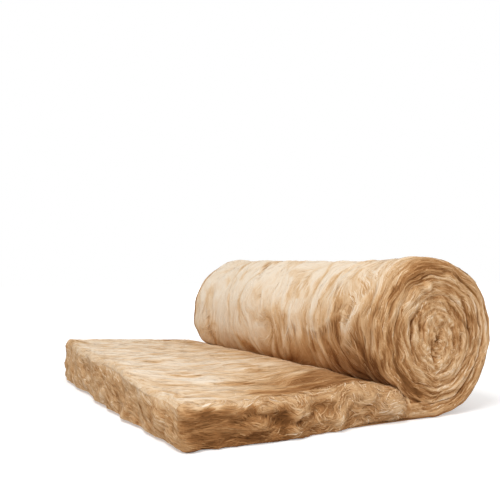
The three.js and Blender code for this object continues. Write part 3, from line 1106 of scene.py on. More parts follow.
def dressed_patches(settings):
    """The blanket's stations and its finished patches by name, in the order of their faces."""
    st = Stations(settings.blanket)
    patches = blanket_patches(st)
    for patch in patches:
        dress(patch, st, settings)
    return st, {p.name: p for p in patches}


def grid_outlines(grid):
    """The corners of every four-sided face of a grid."""
    quads = np.stack([grid[:-1, :-1], grid[1:, :-1], grid[1:, 1:], grid[:-1, 1:]], axis=-1)
    return quads.reshape(-1, 4).tolist()


def flat_outlines(grid):
    """The corners of the few long faces that cover a flat grid and keep its border's points."""
    first = [*grid[:, 0], grid[-1, 1], grid[0, 1]]
    last = [*grid[::-1, -1], grid[0, -2], grid[-1, -2]]
    strips = [
        [grid[0, j], grid[-1, j], grid[-1, j + 1], grid[0, j + 1]]
        for j in range(1, grid.shape[1] - 2)
    ]
    return [[int(c) for c in outline] for outline in (first, *strips, last)]


def without_repeats(outline, index):
    """An outline's corners, without those whose point is also the point of the corner before."""
    kept = []
    for c in outline:
        if not kept or index[c] != index[kept[-1]]:
            kept.append(c)
    if len(kept) > 1 and index[kept[0]] == index[kept[-1]]:
        kept.pop()
    return kept


WELD_STEPS = 1e6  # points that agree to a thousandth of a millimetre are one


def weld(patches):
    """Joins the patches where they meet at rest.

    Gives the joined points, each face's points, and each face's corners as numbered patch by patch.
    """
    rest = np.concatenate([p.rest.reshape(-1, 3) for p in patches])
    points = np.concatenate([p.points.reshape(-1, 3) for p in patches])
    keys = np.round(rest * WELD_STEPS).astype(np.int64)
    _, index = np.unique(keys, axis=0, return_inverse=True)
    index = index.ravel()
    count = np.bincount(index)
    welded = np.stack([np.bincount(index, points[:, k]) / count for k in range(3)], axis=-1)
    corners = []
    offset = 0
    for p in patches:
        grid = np.arange(p.tone.size).reshape(p.tone.shape) + offset
        offset += grid.size
        outlines = flat_outlines(grid) if p.name == "floor" else grid_outlines(grid)
        for outline in outlines:
            kept = without_repeats(outline[::-1] if p.flipped else outline, index)
            if len(kept) > 2:
                corners.append(kept)
    faces = [[int(index[c]) for c in face] for face in corners]
    return welded, faces, corners


# --- Strands --------------------------------------------------------------------------------------

STRAND_POINTS = 5
MARCH_STEPS = 4  # from a strand's middle to one of its ends
SHORTEST_RUN = 3  # steps that a strand needs on its patch
INSIDE = (0, 0, 0)  # strands hang over none of their patch's borders
BOLD_WIDTH = 1.7  # of a thick strand, against the others
BOLD_STRETCH = 0.35  # power of its width by which a thick strand is longer
LENGTH_SPREAD = (0.55, 1.35)
WIDTH_SPREAD = 0.30
LIFT_SPREAD = (0.0, 1.6)
TIP_DEPTH = 0.0010  # how deep a strand's tips dip into the wool
TIP_WIDTH = 0.12  # as a share of the middle's width
TONE_STEPS = 64  # of the palette that all strands share
# Where a strand's foot lies up the palette, how much higher its crest does, and how far its two
# feet lie apart.
UV_FOOT, UV_CREST, UV_SIDE = 0.04, 0.90, 0.05


def between(grid, i, j):
    """Value of a grid at places between its points."""
    n, m = grid.shape[:2]
    i0 = np.clip(np.floor(i).astype(int), 0, n - 2)
    j0 = np.clip(np.floor(j).astype(int), 0, m - 2)
    fi, fj = i - i0, j - j0
    if grid.ndim == 3:
        fi, fj = fi[..., None], fj[..., None]
    low = grid[i0, j0] * (1 - fi) + grid[i0 + 1, j0] * fi
    high = grid[i0, j0 + 1] * (1 - fi) + grid[i0 + 1, j0 + 1] * fi
    return low * (1 - fj) + high * fj


class Growth:
    """Strands that grow on one patch along its fibre lines.

    Length, width, wander (how far a strand leaves its fibre line), spread (of the tones) and cover
    (how closely the strands stand) are a number or a grid over the patch. bold is the share of
    thick strands. over is how many steps they may hang over the first row, the first column and
    the last one.
    """

    def __init__(
        self, patch, *, seed, count, length, width, lift, wander, spread, cover, bold, over=INSIDE
    ):
        rng = np.random.default_rng(seed)
        thick = np.where(rng.random(count) < bold, BOLD_WIDTH, 1.0)
        self.patch = patch
        self.du = np.gradient(patch.points, axis=0)
        self.dv = np.gradient(patch.points, axis=1)
        self.slope_i, self.slope_j = np.gradient(patch.fibre)
        normal = np.cross(self.du, self.dv)
        self.normal = unit(-normal if patch.flipped else normal)

        # The roots stand more closely where the faces are big and the cover is dense.
        weight = np.linalg.norm(normal, axis=-1)[:-1, :-1] * cover[:-1, :-1]
        cell = rng.choice(weight.size, size=count, p=(weight / weight.sum()).ravel())
        i, j = np.unravel_index(cell, weight.shape)
        i = i + rng.random(count)
        j = j + rng.random(count)
        size = self.at(length, i, j) * rng.uniform(*LENGTH_SPREAD, count) * thick**BOLD_STRETCH
        turned = self.at(wander, i, j)
        lean = rng.normal(0, 1, count) * turned
        bend = rng.normal(0, 1, count) * turned
        i, j, keep = self.follow(i, j, size / 2, lean, bend, over)

        n, m = patch.fibre.shape
        on_patch = np.clip(i, 0, n - 1), np.clip(j, 0, m - 1)
        middle = on_patch[0][STRAND_POINTS // 2], on_patch[1][STRAND_POINTS // 2]
        arch = np.sin(math.pi * self.steps())  # 0 at the tips and 1 in the middle
        kept = int(keep.sum())
        self.normals = unit(between(self.normal, *on_patch))
        rise = lift * rng.uniform(*LIFT_SPREAD, kept) * arch - TIP_DEPTH * (1 - arch)
        self.places = between(patch.points, i, j) + self.normals * rise[..., None]
        taper = TIP_WIDTH + (1 - TIP_WIDTH) * arch**0.7
        wide = self.at(width, *middle) * rng.lognormal(0, WIDTH_SPREAD, kept)
        self.widths = taper * wide * thick[keep] / 2
        self.places[..., 2] = np.maximum(self.places[..., 2], self.widths)
        tone = between(patch.tone, *on_patch)
        own = rng.normal(0, 1, kept) * self.at(spread, *middle)
        self.tones = 0.6 * tone + 0.4 * tone[STRAND_POINTS // 2] + own * arch**0.6

    @staticmethod
    def steps():
        """Where a strand's points lie along it, from 0 to 1."""
        return np.linspace(0, 1, STRAND_POINTS)[:, None]

    def at(self, value, i, j):
        """A number, or a grid's value at these places."""
        return between(np.broadcast_to(value, self.patch.tone.shape), i, j)

    def follow(self, i, j, reach, lean, bend, over):
        """Where each strand's points lie on the patch's grid, and which strands are long enough."""
        forward = self.march(i, j, reach, lean, bend, 1)
        backward = self.march(i, j, reach, lean, -bend, -1)
        path_i = np.concatenate([backward[0][::-1], forward[0][1:]])
        path_j = np.concatenate([backward[1][::-1], forward[1][1:]])
        n, m = self.patch.fibre.shape
        in_rows = (path_i >= -over[0]) & (path_i <= n - 1)
        in_columns = (path_j >= -over[1]) & (path_j <= m - 1 + over[2])
        first, last = self.longest_run(in_rows & in_columns)
        spot = first + self.steps() * (last - first)
        k = np.clip(np.floor(spot).astype(int), 0, len(path_i) - 2)
        f = spot - k
        strand = np.arange(len(i))
        keep = last - first >= SHORTEST_RUN
        i, j = (q[k, strand] * (1 - f) + q[k + 1, strand] * f for q in (path_i, path_j))
        return i[:, keep], j[:, keep], keep

    def march(self, i, j, reach, lean, bend, sign):
        """Walks along the fibre lines from a strand's middle to one end."""
        n, m = self.slope_i.shape
        path = [(i, j)]
        for k in range(MARCH_STEPS):
            on = np.clip(i, 0, n - 1), np.clip(j, 0, m - 1)
            du, dv = between(self.du, *on), between(self.dv, *on)
            rise_i, rise_j = between(self.slope_i, *on), between(self.slope_j, *on)
            way = unit(rise_j[:, None] * du - rise_i[:, None] * dv) * sign
            side = np.cross(between(self.normal, *on), way)
            angle = lean + bend * (k + 0.5) / MARCH_STEPS
            way = way * np.cos(angle)[:, None] + side * np.sin(angle)[:, None]
            hop = (reach / MARCH_STEPS)[:, None] * way
            i = i + (hop * du).sum(-1) / np.maximum((du * du).sum(-1), 1e-10)
            j = j + (hop * dv).sum(-1) / np.maximum((dv * dv).sum(-1), 1e-10)
            path.append((i, j))
        return np.array([q[0] for q in path]), np.array([q[1] for q in path])

    @staticmethod
    def longest_run(inside):
        """First and last step of each strand that still lie on the patch, from its middle out."""
        middle = len(inside) // 2
        last = middle + np.cumprod(inside[middle + 1 :], axis=0).sum(axis=0)
        first = middle - np.cumprod(inside[:middle][::-1], axis=0).sum(axis=0)
        return first, last


def guide_mesh(name, growths):
    """Thin lines for the strands to follow, with a normal, a width and a tone at each point."""

    def joined(key):
        values = np.concatenate([getattr(g, key) for g in growths], axis=1)
        return np.ascontiguousarray(np.swapaxes(values, 0, 1), dtype=np.float32)

    places = joined("places")
    count = len(places)
    start = (np.arange(count) * STRAND_POINTS)[:, None] + np.arange(STRAND_POINTS - 1)[None, :]
    edges = np.stack([start, start + 1], axis=-1).reshape(-1, 2)
    mesh = bpy.data.meshes.new(name)
    mesh.vertices.add(count * STRAND_POINTS)
    mesh.vertices.foreach_set("co", places.ravel())
    mesh.edges.add(len(edges))
    mesh.edges.foreach_set("vertices", edges.astype(np.int32).ravel())
    along = np.tile(Growth.steps().ravel(), count).astype(np.float32)
    tones = np.clip(joined("tones"), 0.0, 1 - 1 / TONE_STEPS)
    for label, kind, key, values in (
        ("strand_normal", "FLOAT_VECTOR", "vector", joined("normals")),
        ("strand_width", "FLOAT", "value", joined("widths")),
        ("strand_tone", "FLOAT", "value", tones),
        ("strand_along", "FLOAT", "value", along),
    ):
        mesh.attributes.new(label, kind, "POINT").data.foreach_set(key, values.ravel())
    mesh.update()
    return mesh


def spread_palette(mesh):
    """A UV map with the tone across it and the crest at its top, so that all strands share it."""
    vertex = np.empty(len(mesh.loops), np.int32)
    mesh.loops.foreach_get("vertex_index", vertex)
    first = np.empty(len(mesh.polygons), np.int32)
    total = np.empty(len(mesh.polygons), np.int32)
    mesh.polygons.foreach_get("loop_start", first)
    mesh.polygons.foreach_get("loop_total", total)

    def at_corners(label):
        values = np.empty(len(mesh.vertices), np.float32)
        mesh.attributes[label].data.foreach_get("value", values)
        return values[vertex]

    tone, along, crest = (at_corners("strand_" + key) for key in ("tone", "along", "crest"))
    # A face's corners are shifted a little, so that none of them lie on each other.
    corner = np.arange(len(vertex)) - np.repeat(first, total)
    level = np.repeat(np.isclose(along[first], along[first + 1]), total)
    side = np.where(level, np.isin(corner, (1, 2)), np.isin(corner, (2, 3)))
    ring = np.round(along * (STRAND_POINTS - 1)) % 2
    shift = np.where(np.repeat(total, total) == 3, corner / 2, ring)
    u = tone * (1 - 1 / TONE_STEPS) + shift / TONE_STEPS
    v = UV_FOOT + UV_CREST * crest + UV_SIDE * side * (1 - crest)
    uv = np.stack([u, v], axis=-1)
    mesh.uv_layers.new(name=BAKE_MAP).data.foreach_set("uv", uv.astype(np.float32).ravel())


def add_object(context, name, data):
    """A new object in the scene."""
    thing = bpy.data.objects.new(name, data)
    context.scene.collection.objects.link(thing)
    return thing


def make_strands(context, name, growths, flatness):
    """Turns the strands of these growths into one plain mesh."""
    guides = add_object(context, name + "_guides", guide_mesh(name + "_guides", growths))
    modifier = guides.modifiers.new("strands", "NODES")
    modifier.node_group = bpy.data.node_groups["Wool Strands"]
    values = {"Flatness": flatness, "Material": bpy.data.materials["Loose strands"]}
    for item in modifier.node_group.interface.items_tree:
        if item.in_out == "INPUT" and item.name in values:
            modifier[item.identifier] = values[item.name]
    graph = context.evaluated_depsgraph_get()
    graph.update()
    mesh = bpy.data.meshes.new_from_object(
        guides.evaluated_get(graph), preserve_all_data_layers=True, depsgraph=graph
    )
    mesh.name = name
    bpy.data.objects.remove(guides)
    spread_palette(mesh)
    strands = add_object(context, name, mesh)
    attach(strands, "root")


# --- Nodes ----------------------------------------------------------------------------------------


def add_node(tree, kind, inputs, **traits):
    """A node with these traits. Each of its inputs gets a value, or a link from a socket."""
    node = tree.nodes.new(kind)
    for name, value in traits.items():
        setattr(node, name, value)
    for key, value in inputs.items():
        if isinstance(value, bpy.types.NodeSocket):
            tree.links.new(value, node.inputs[key])
        else:
            node.inputs[key].default_value = value
    return node


def math_node(tree, operation, *values):
    """The result of a sum, a product or the like of these values and sockets."""
    node = add_node(tree, "ShaderNodeMath", dict(enumerate(values)), operation=operation)
    return node.outputs["Value"]


def new_group(name, kind, inputs, output):
    """A node group with these named sockets, its input node's sockets and its output node's one."""
    tree = bpy.data.node_groups.new(name, kind)
    for label, socket_kind, value in inputs:
        socket = tree.interface.new_socket(label, in_out="INPUT", socket_type=socket_kind)
        if value is not None:
            socket.default_value = value
    tree.interface.new_socket(output[0], in_out="OUTPUT", socket_type=output[1])
    into, out = tree.nodes.new("NodeGroupInput"), tree.nodes.new("NodeGroupOutput")
    return tree, into.outputs, out.inputs[output[0]]


def strand_tree(flatness):
    """Sweeps a low roof-shaped section along each guide."""
    tree, given, result = new_group(
        "Wool Strands",
        "GeometryNodeTree",
        [
            ("Guides", "NodeSocketGeometry", None),
            ("Flatness", "NodeSocketFloat", flatness),
            ("Material", "NodeSocketMaterial", None),
        ],
        ("Strands", "NodeSocketGeometry"),
    )

    def named(label, kind):
        node = add_node(tree, "GeometryNodeInputNamedAttribute", {"Name": label}, data_type=kind)
        return node.outputs["Attribute"]

    def step(kind, inputs, **traits):
        """Adds a node and gives its first result."""
        return add_node(tree, kind, inputs, **traits).outputs[0]

    line = step("GeometryNodeMeshToCurve", {"Mesh": given["Guides"]})
    normal = named("strand_normal", "FLOAT_VECTOR")
    line = step("GeometryNodeSetCurveNormal", {"Curve": line, "Normal": normal}, mode="FREE")

    # The section is a flat triangle, whose upper corner is marked as the strand's crest.
    section = step("GeometryNodeCurvePrimitiveCircle", {"Resolution": 3})
    stretch = step("ShaderNodeCombineXYZ", {"X": given["Flatness"], "Y": 1.0, "Z": 1.0})
    section = step("GeometryNodeTransform", {"Geometry": section, "Scale": stretch})
    place = tree.nodes.new("GeometryNodeInputPosition").outputs["Position"]
    across = step("ShaderNodeSeparateXYZ", {"Vector": place})
    above = math_node(tree, "GREATER_THAN", across, 0.0)
    section = step(
        "GeometryNodeStoreNamedAttribute",
        {"Geometry": section, "Name": "strand_crest", "Value": above},
        data_type="FLOAT",
        domain="POINT",
    )
    width = named("strand_width", "FLOAT")
    strands = step(
        "GeometryNodeCurveToMesh",
        {"Curve": line, "Profile Curve": section, "Scale": width, "Fill Caps": True},
    )
    strands = step("GeometryNodeSetShadeSmooth", {"Geometry": strands})
    under = math_node(tree, "LESS_THAN", named("strand_crest", "FLOAT"), 0.25)
    sharp = {"Geometry": strands, "Selection": under, "Shade Smooth": False}
    strands = step("GeometryNodeSetShadeSmooth", sharp, domain="EDGE")
    strands = step("GeometryNodeRealizeInstances", {"Geometry": strands})
    finish = {"Geometry": strands, "Material": given["Material"]}
    strands = step("GeometryNodeSetMaterial", finish)
    tree.links.new(strands, result)


# --- Materials ------------------------------------------------------------------------------------

WOOL_SHEEN = 0.08  # glass wool hardly shines
FINE_GAIN = 3.0  # brings the fine fibres' noise to about -1 to 1
FINE_TONE = 0.11  # how far a fine fibre changes the tone
BUMP_STRENGTH = 0.8
# Painted shade along a strand's feet, and the painted highlight that rises from there to its crest.
FOOT_PAINTED_SHADE, CREST_PAINTED_HIGHLIGHT = -0.08, 0.14


def wool_tint_group(colours):
    """From a tone of 0 to 1, the wool's colour from its creases to its palest strands."""
    tree, given, result = new_group(
        "Wool Tint",
        "ShaderNodeTree",
        [("Tone", "NodeSocketFloat", 0.5)],
        ("Colour", "NodeSocketColor"),
    )
    ramp = add_node(tree, "ShaderNodeValToRGB", {0: given["Tone"]})
    ramp.color_ramp.interpolation = "B_SPLINE"
    stops = (
        (0.0, colours.crease),
        (0.28, colours.brown),
        (0.52, colours.tan),
        (0.76, colours.cream),
        (1.0, colours.pale),
    )
    elements = ramp.color_ramp.elements
    while len(elements) < len(stops):
        elements.new(0.5)
    for element, (position, shade) in zip(elements, stops):
        element.position = position
        element.color = (*shade, 1.0)
    tree.links.new(ramp.outputs[0], result)


def fine_fibre_group():
    """Fine fibres that lie along the flow: a value from about -1 to 1."""
    tree, given, result = new_group(
        "Fine Fibres",
        "ShaderNodeTree",
        [
            ("Flow", "NodeSocketVector", None),
            ("Fineness", "NodeSocketFloat", 260.0),
            ("Stretch", "NodeSocketFloat", 0.07),
        ],
        ("Value", "NodeSocketFloat"),
    )
    flow = add_node(tree, "ShaderNodeSeparateXYZ", {0: given["Flow"]}).outputs
    stretched = math_node(tree, "MULTIPLY", given["Fineness"], given["Stretch"])
    across = math_node(tree, "MULTIPLY", flow[0], given["Fineness"])
    along = math_node(tree, "MULTIPLY", flow[1], stretched)
    place = add_node(tree, "ShaderNodeCombineXYZ", {0: across, 1: along, 2: flow[2]}).outputs[0]
    pattern = add_node(
        tree,
        "ShaderNodeTexNoise",
        {"Vector": place, "Scale": 1.0, "Detail": 3.0, "Roughness": 0.6},
    )
    centred = math_node(tree, "SUBTRACT", pattern.outputs["Fac"], 0.5)
    tree.links.new(math_node(tree, "MULTIPLY", centred, FINE_GAIN), result)


def new_material(name, roughness, specular):
    """A new material, its node tree and the inputs of its shader."""
    material = bpy.data.materials.new(name)
    material.use_nodes = True
    shader = material.node_tree.nodes["Principled BSDF"].inputs
    shader["Roughness"].default_value = roughness
    shader["Specular IOR Level"].default_value = specular
    return material, material.node_tree, shader


def attribute(tree, name):
    """What a mesh attribute holds, as a node's outputs."""
    return add_node(tree, "ShaderNodeAttribute", {}, attribute_name=name).outputs


def tint_wool(tree, shader, tone, change):
    """Colours a shader with the wool's tint at a tone and a change of it."""
    tone = math_node(tree, "ADD", tone, change)
    group = bpy.data.node_groups["Wool Tint"]
    tinted = add_node(tree, "ShaderNodeGroup", {"Tone": tone}, node_tree=group)
    tree.links.new(tinted.outputs["Colour"], shader["Base Color"])


def blanket_material(settings):
    """The wool of the blanket: its tone from the relief, with fine fibres along the flow."""
    _, tree, shader = new_material("Glass wool", settings.colours.roughness, WOOL_SHEEN)
    flow = attribute(tree, "fibre_flow")["Vector"]
    group = bpy.data.node_groups["Fine Fibres"]
    fine = add_node(tree, "ShaderNodeGroup", {"Flow": flow}, node_tree=group).outputs["Value"]
    change = math_node(tree, "MULTIPLY", fine, FINE_TONE)
    tint_wool(tree, shader, attribute(tree, "wool_tone")["Fac"], change)
    depth = {"Height": fine, "Distance": settings.relief.bump, "Strength": BUMP_STRENGTH}
    bump = add_node(tree, "ShaderNodeBump", depth)
    tree.links.new(bump.outputs["Normal"], shader["Normal"])


def strand_material(settings):
    """A loose strand: one tone from end to end, with painted shade along its feet
    and a painted highlight on its crest.
    """
    _, tree, shader = new_material("Loose strands", settings.colours.roughness, WOOL_SHEEN)
    crest = attribute(tree, "strand_crest")["Fac"]
    change = math_node(tree, "MULTIPLY_ADD", crest, CREST_PAINTED_HIGHLIGHT, FOOT_PAINTED_SHADE)
    tint_wool(tree, shader, attribute(tree, "strand_tone")["Fac"], change)


# --- Operators ------------------------------------------------------------------------------------

# Where each patch lies on the blanket's own UV map: left, low and scale.
UV_PLACES = {
    "skin": (0.00, 0.00, 1.0),
    "top": (0.00, 1.32, 1.0),
    "cut_end": (1.20, 1.20, 1.0),
    "end_near": (1.20, 0.00, 1.0),
    "end_far": (1.66, 0.00, 1.0),
    "side_near": (1.20, 0.50, 1.0),
    "side_far": (1.20, 0.70, 1.0),
    "floor": (1.20, 0.90, 0.2),
}
UV_SPAN = 2.5
REGION_STEP = 7.3  # sets the patches' fine fibres apart
# Cut faces of the tail: seed, share of the strands, spread of their tones, and how many steps they
# may hang over the first row, the first column and the last one.
SIDE_FACES = {
    "side_near": (5, 0.34, 0.135, (1, 0, 2)),
    "side_far": (6, 0.20, 0.090, (1, 0, 0)),
    "cut_end": (7, 0.46, 0.150, (0, 2, 2)),
}


def bake_places(patch):
    """Where a patch lies on the blanket's own UV map, without overlaps."""
    left, low, scale = UV_PLACES[patch.name]
    rest = patch.rest
    u = rest[..., 1] - LOW[1]
    v = rest[..., 2]
    if patch.name in ("skin", "top", "floor"):
        v = np.abs(patch.along - patch.along.flat[0])
    elif patch.name != "cut_end":
        u = rest[..., 0] - rest[..., 0].min()
    return np.stack([(left + u * scale) / UV_SPAN, (low + v * scale) / UV_SPAN], axis=-1)


class WOOL_OT_finishes(bpy.types.Operator):
    """Make the node groups and the materials of the wool"""

    bl_idname = "wool.finishes"
    bl_label = "Finishes"

    def execute(self, context):
        settings = context.scene.wool_roll
        wool_tint_group(settings.colours)
        fine_fibre_group()
        blanket_material(settings)
        strand_material(settings)
        strand_tree(settings.strands.flatness)
        return {"FINISHED"}


class WOOL_OT_blanket(bpy.types.Operator):
    """Build the blanket, wound into its roll with the tail unrolled"""

    bl_idname = "wool.blanket"
    bl_label = "Blanket"

    def execute(self, context):
        _, patches = dressed_patches(context.scene.wool_roll)
        patches = list(patches.values())
        points, faces, corners = weld(patches)
        mesh = bpy.data.meshes.new("blanket")
        mesh.from_pydata(points.tolist(), [], faces)
        mesh.shade_smooth()
        corners = [c for face in corners for c in face]

        def at_corners(values, size=()):
            return np.concatenate([v.reshape(-1, *size) for v in values])[corners]

        tone = at_corners([p.tone for p in patches])
        fibre = at_corners([p.fibre for p in patches])
        along = at_corners([p.along for p in patches])
        region = at_corners([np.full(p.tone.size, REGION_STEP * k) for k, p in enumerate(patches)])
        flow = np.stack([fibre, along, region], axis=-1).ravel()
        places = at_corners([bake_places(p) for p in patches], (2,)).ravel()
        attributes = mesh.attributes
        attributes.new("wool_tone", "FLOAT", "CORNER").data.foreach_set("value", tone)
        attributes.new("fibre_flow", "FLOAT_VECTOR", "CORNER").data.foreach_set("vector", flow)
        mesh.uv_layers.new(name=BAKE_MAP).data.foreach_set("uv", places)
        mesh.update()
        mesh.materials.append(bpy.data.materials["Glass wool"])
        blanket = add_object(context, "blanket", mesh)
        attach(blanket, "root")
        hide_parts(NODE)
        return {"FINISHED"}


def strand_ground(context):
    """What the strands grow from: their sizes, the stations and the finished patches."""
    settings = context.scene.wool_roll
    return settings.strands, *dressed_patches(settings)


class WOOL_OT_skin_strands(bpy.types.Operator):
    """Lay strands round the roll's skin"""

    bl_idname = "wool.skin_strands"
    bl_label = "Skin strands"

    def execute(self, context):
        size, _, patches = strand_ground(context)
        skin = patches["skin"]
        near = smooth(-skin.across, 0.2, 0.5)
        growth = Growth(
            skin,
            seed=1,
            count=size.skin_count,
            length=size.skin_length * (1 - 0.35 * near),
            width=size.skin_width * (1 - 0.35 * near),
            lift=size.lift,
            wander=0.10,
            spread=0.045 + 0.085 * near,
            cover=smooth(skin.points[..., 2], 0.01, 0.04) * (1 + 1.2 * near),
            bold=0.05,
        )
        make_strands(context, "skin_strands", [growth], size.flatness)
        return {"FINISHED"}


class WOOL_OT_top_strands(bpy.types.Operator):
    """Lay strands along the tail's top"""

    bl_idname = "wool.top_strands"
    bl_label = "Top strands"

    def execute(self, context):
        size, _, patches = strand_ground(context)
        top = patches["top"]
        inland = smooth(top.rest[..., 0], LOW[0], LOW[0] + 0.07)
        far = smooth(top.across, 0.0, 0.5)
        growth = Growth(
            top,
            seed=2,
            count=size.top_count,
            length=size.top_length * (0.4 + 0.6 * inland),
            width=size.top_width * (1 + 0.4 * far),
            lift=size.lift,
            wander=0.09,
            spread=0.060 + 0.035 * far,
            cover=2.5 - 1.5 * inland,
            bold=0.05,
            over=(1, 0, 0),
        )
        make_strands(context, "top_strands", [growth], size.flatness)
        return {"FINISHED"}


class WOOL_OT_end_strands(bpy.types.Operator):
    """Lay strands along the turns that show on the roll's ends"""

    bl_idname = "wool.end_strands"
    bl_label = "End strands"

    def execute(self, context):
        size, st, patches = strand_ground(context)
        for name, count, seed in (("near", size.near_end_count, 3), ("far", size.far_end_count, 4)):
            end = patches["end_" + name]
            x, z = end.points[..., 0], end.points[..., 2]
            core = 1 - smooth(np.hypot(x - st.axis_x, z - st.axis_z), 0.05, 0.14)
            growth = Growth(
                end,
                seed=seed,
                count=count,
                length=size.end_length * (1 - 0.55 * core),
                width=size.end_width,
                lift=size.lift,
                wander=0.10 + 0.80 * core,
                spread=0.115 - 0.015 * core,
                cover=smooth(z, 0.004, 0.02),
                bold=0.08,
            )
            make_strands(context, name + "_end_strands", [growth], size.flatness)
        return {"FINISHED"}


class WOOL_OT_side_strands(bpy.types.Operator):
    """Lay curled strands on the tail's cut faces"""

    bl_idname = "wool.side_strands"
    bl_label = "Side strands"

    def execute(self, context):
        size, _, patches = strand_ground(context)
        growths = [self.grow(patches[name], size) for name in SIDE_FACES]
        make_strands(context, "side_strands", growths, 1.6 * size.flatness)
        return {"FINISHED"}

    def grow(self, face, size):
        """The strands of one cut face."""
        seed, part, spread, over = SIDE_FACES[face.name]
        on_side = face.name != "cut_end"
        curl = curled(face) if on_side else 0.2
        cover = smooth(face.points[..., 2], -0.004, 0.006)
        if face.name == "side_far":
            cover = cover * (0.05 + smooth(below_top(face), 0.010, 0.030))
        return Growth(
            face,
            seed=seed,
            count=round(size.side_count * part),
            length=size.side_length * (0.8 + 0.2 * curl),
            width=size.side_width,
            lift=(2.5 if on_side else 1.5) * size.lift,
            wander=0.10 + 0.20 * curl,
            spread=spread * (0.6 + 0.4 * curl),
            cover=cover,
            bold=0.06,
            over=over,
        )


# --- Stage ----------------------------------------------------------------------------------------

WHITE = (1.0, 1.0, 1.0, 1.0)
FLOOR_REACH = 12.0
# The floor's own light grows from round the roll outwards, so that it fades into the white.
GLOW_NEAR, GLOW_FAR = 0.8, 2.6
GLOW_LEAST, GLOW_MOST = 0.35, 1.0
# Place, target and diameter of each lamp.
KEY_LAMP = ((-1.5, -1.4, 3.1), (0.1, 0.0, 0.15), 1.6)
FILL_LAMP = ((1.2, -3.0, 1.4), (0.1, 0.0, 0.2), 2.2)


def add_lamp(context, name, power, place, target, diameter):
    """A round area lamp at a place, turned to a target."""
    data = bpy.data.lights.new(name, "AREA")
    data.energy = power
    data.shape = "DISK"
    data.size = diameter
    lamp = add_object(context, name, data)
    lamp.location = place
    x, y, z = np.subtract(target, place)
    lamp.rotation_euler = (math.atan2(math.hypot(x, y), -z), 0.0, math.atan2(-x, y))


def add_camera(context, stage):
    """The camera at its place, turned from +Y by its bearing."""
    data = bpy.data.cameras.new("camera")
    data.sensor_width = 36.0
    data.lens = stage.lens
    data.clip_end = 50.0
    camera = add_object(context, "camera", data)
    camera.location = stage.eye
    camera.rotation_euler = (math.pi / 2 + stage.tilt, 0.0, -stage.bearing)
    context.scene.camera = camera


def floor_material(stage):
    """A matt floor that glows where it is seen, more so away from the roll."""
    material, tree, shader = new_material("Studio floor", 1.0, 0.0)
    shader["Base Color"].default_value = (*stage.floor, 1.0)
    shader["Emission Color"].default_value = WHITE
    place = tree.nodes.new("ShaderNodeTexCoord").outputs["Object"]
    distance = add_node(tree, "ShaderNodeVectorMath", {0: place}, operation="LENGTH")
    span = {
        "Value": distance.outputs["Value"],
        "From Min": GLOW_NEAR,
        "From Max": GLOW_FAR,
        "To Min": GLOW_LEAST,
        "To Max": GLOW_MOST,
    }
    fade = add_node(tree, "ShaderNodeMapRange", span, interpolation_type="SMOOTHSTEP")
    seen = tree.nodes.new("ShaderNodeLightPath").outputs["Is Camera Ray"]
    glow = math_node(tree, "MULTIPLY", seen, fade.outputs["Result"])
    tree.links.new(glow, shader["Emission Strength"])
    return material


def add_floor(context, stage):
    """A wide pale floor under the roll."""
    mesh = bpy.data.meshes.new("floor")
    r = FLOOR_REACH
    mesh.from_pydata([(-r, -r, 0), (r, -r, 0), (r, r, 0), (-r, r, 0)], [], [(0, 1, 2, 3)])
    mesh.materials.append(floor_material(stage))
    floor = add_object(context, "floor", mesh)


def light_world(context, stage):
    """A white background, whose light on the roll is softer than it looks."""
    world = bpy.data.worlds.new("studio")
    context.scene.world = world
    world.use_nodes = True
    tree = world.node_tree
    background = tree.nodes["Background"].inputs
    background["Color"].default_value = WHITE
    path = tree.nodes.new("ShaderNodeLightPath").outputs
    seen = math_node(tree, "MAXIMUM", path["Is Camera Ray"], path["Is Glossy Ray"])
    seen = math_node(tree, "MAXIMUM", seen, path["Is Transmission Ray"])
    lift = math_node(tree, "MULTIPLY", seen, 1.0 - stage.ambient)
    strength = math_node(tree, "ADD", lift, stage.ambient)
    tree.links.new(strength, background["Strength"])


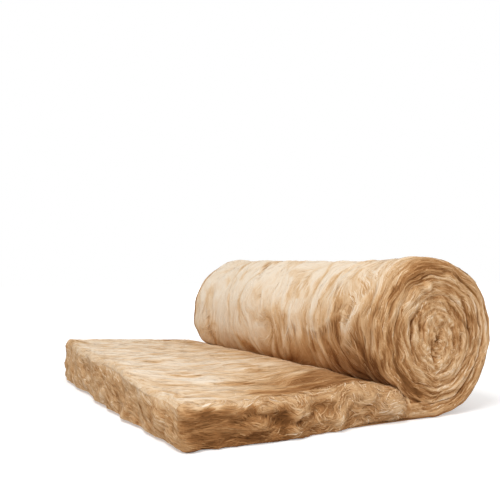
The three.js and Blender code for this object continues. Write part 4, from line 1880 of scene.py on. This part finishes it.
class WOOL_OT_stage(bpy.types.Operator):
    """Set up the pale floor, the lamps and the camera"""

    bl_idname = "wool.stage"
    bl_label = "Stage"

    def execute(self, context):
        stage = context.scene.wool_roll.stage
        context.scene.view_settings.view_transform = "Standard"
        add_camera(context, stage)
        add_floor(context, stage)
        light_world(context, stage)
        add_lamp(context, "key", stage.key_power, *KEY_LAMP)
        add_lamp(context, "fill", stage.fill_power, *FILL_LAMP)
        return {"FINISHED"}


# --- Sidebar and start ----------------------------------------------------------------------------


class WOOL_PT_panel(bpy.types.Panel):
    """Lists the steps in the order in which they are made"""

    bl_label = "Wool Roll"
    bl_idname = "WOOL_PT_panel"
    bl_space_type = "VIEW_3D"
    bl_region_type = "UI"
    bl_category = "Wool Roll"

    def draw(self, context):
        settings = context.scene.wool_roll
        groups = ("blanket", "relief", "strands", "colours", "stage")
        for group in (getattr(settings, name) for name in groups):
            box = self.layout.box()
            for key in group.__annotations__:
                box.prop(group, key)
        for step in STEPS:
            self.layout.operator(step)


STEPS = (
    "wool.stage",
    "wool.finishes",
    "wool.blanket",
    "wool.skin_strands",
    "wool.top_strands",
    "wool.end_strands",
    "wool.side_strands",
)
CLASSES = (
    BlanketSizes,
    ReliefSizes,
    StrandSizes,
    WoolColours,
    StageSettings,
    WoolRollSettings,
    WOOL_OT_stage,
    WOOL_OT_finishes,
    WOOL_OT_blanket,
    WOOL_OT_skin_strands,
    WOOL_OT_top_strands,
    WOOL_OT_end_strands,
    WOOL_OT_side_strands,
    WOOL_PT_panel,
)


def register():
    for cls in CLASSES:
        bpy.utils.register_class(cls)
    bpy.types.Scene.wool_roll = PointerProperty(type=WoolRollSettings)


def unregister():
    del bpy.types.Scene.wool_roll
    for cls in reversed(CLASSES):
        bpy.utils.unregister_class(cls)


def main():
    register()
    bpy.ops.wool.stage()
    bpy.ops.wool.finishes()
    bpy.ops.wool.blanket()
    bpy.ops.wool.skin_strands()
    bpy.ops.wool.top_strands()
    bpy.ops.wool.end_strands()
    bpy.ops.wool.side_strands()


if __name__ == "__main__":
    main()
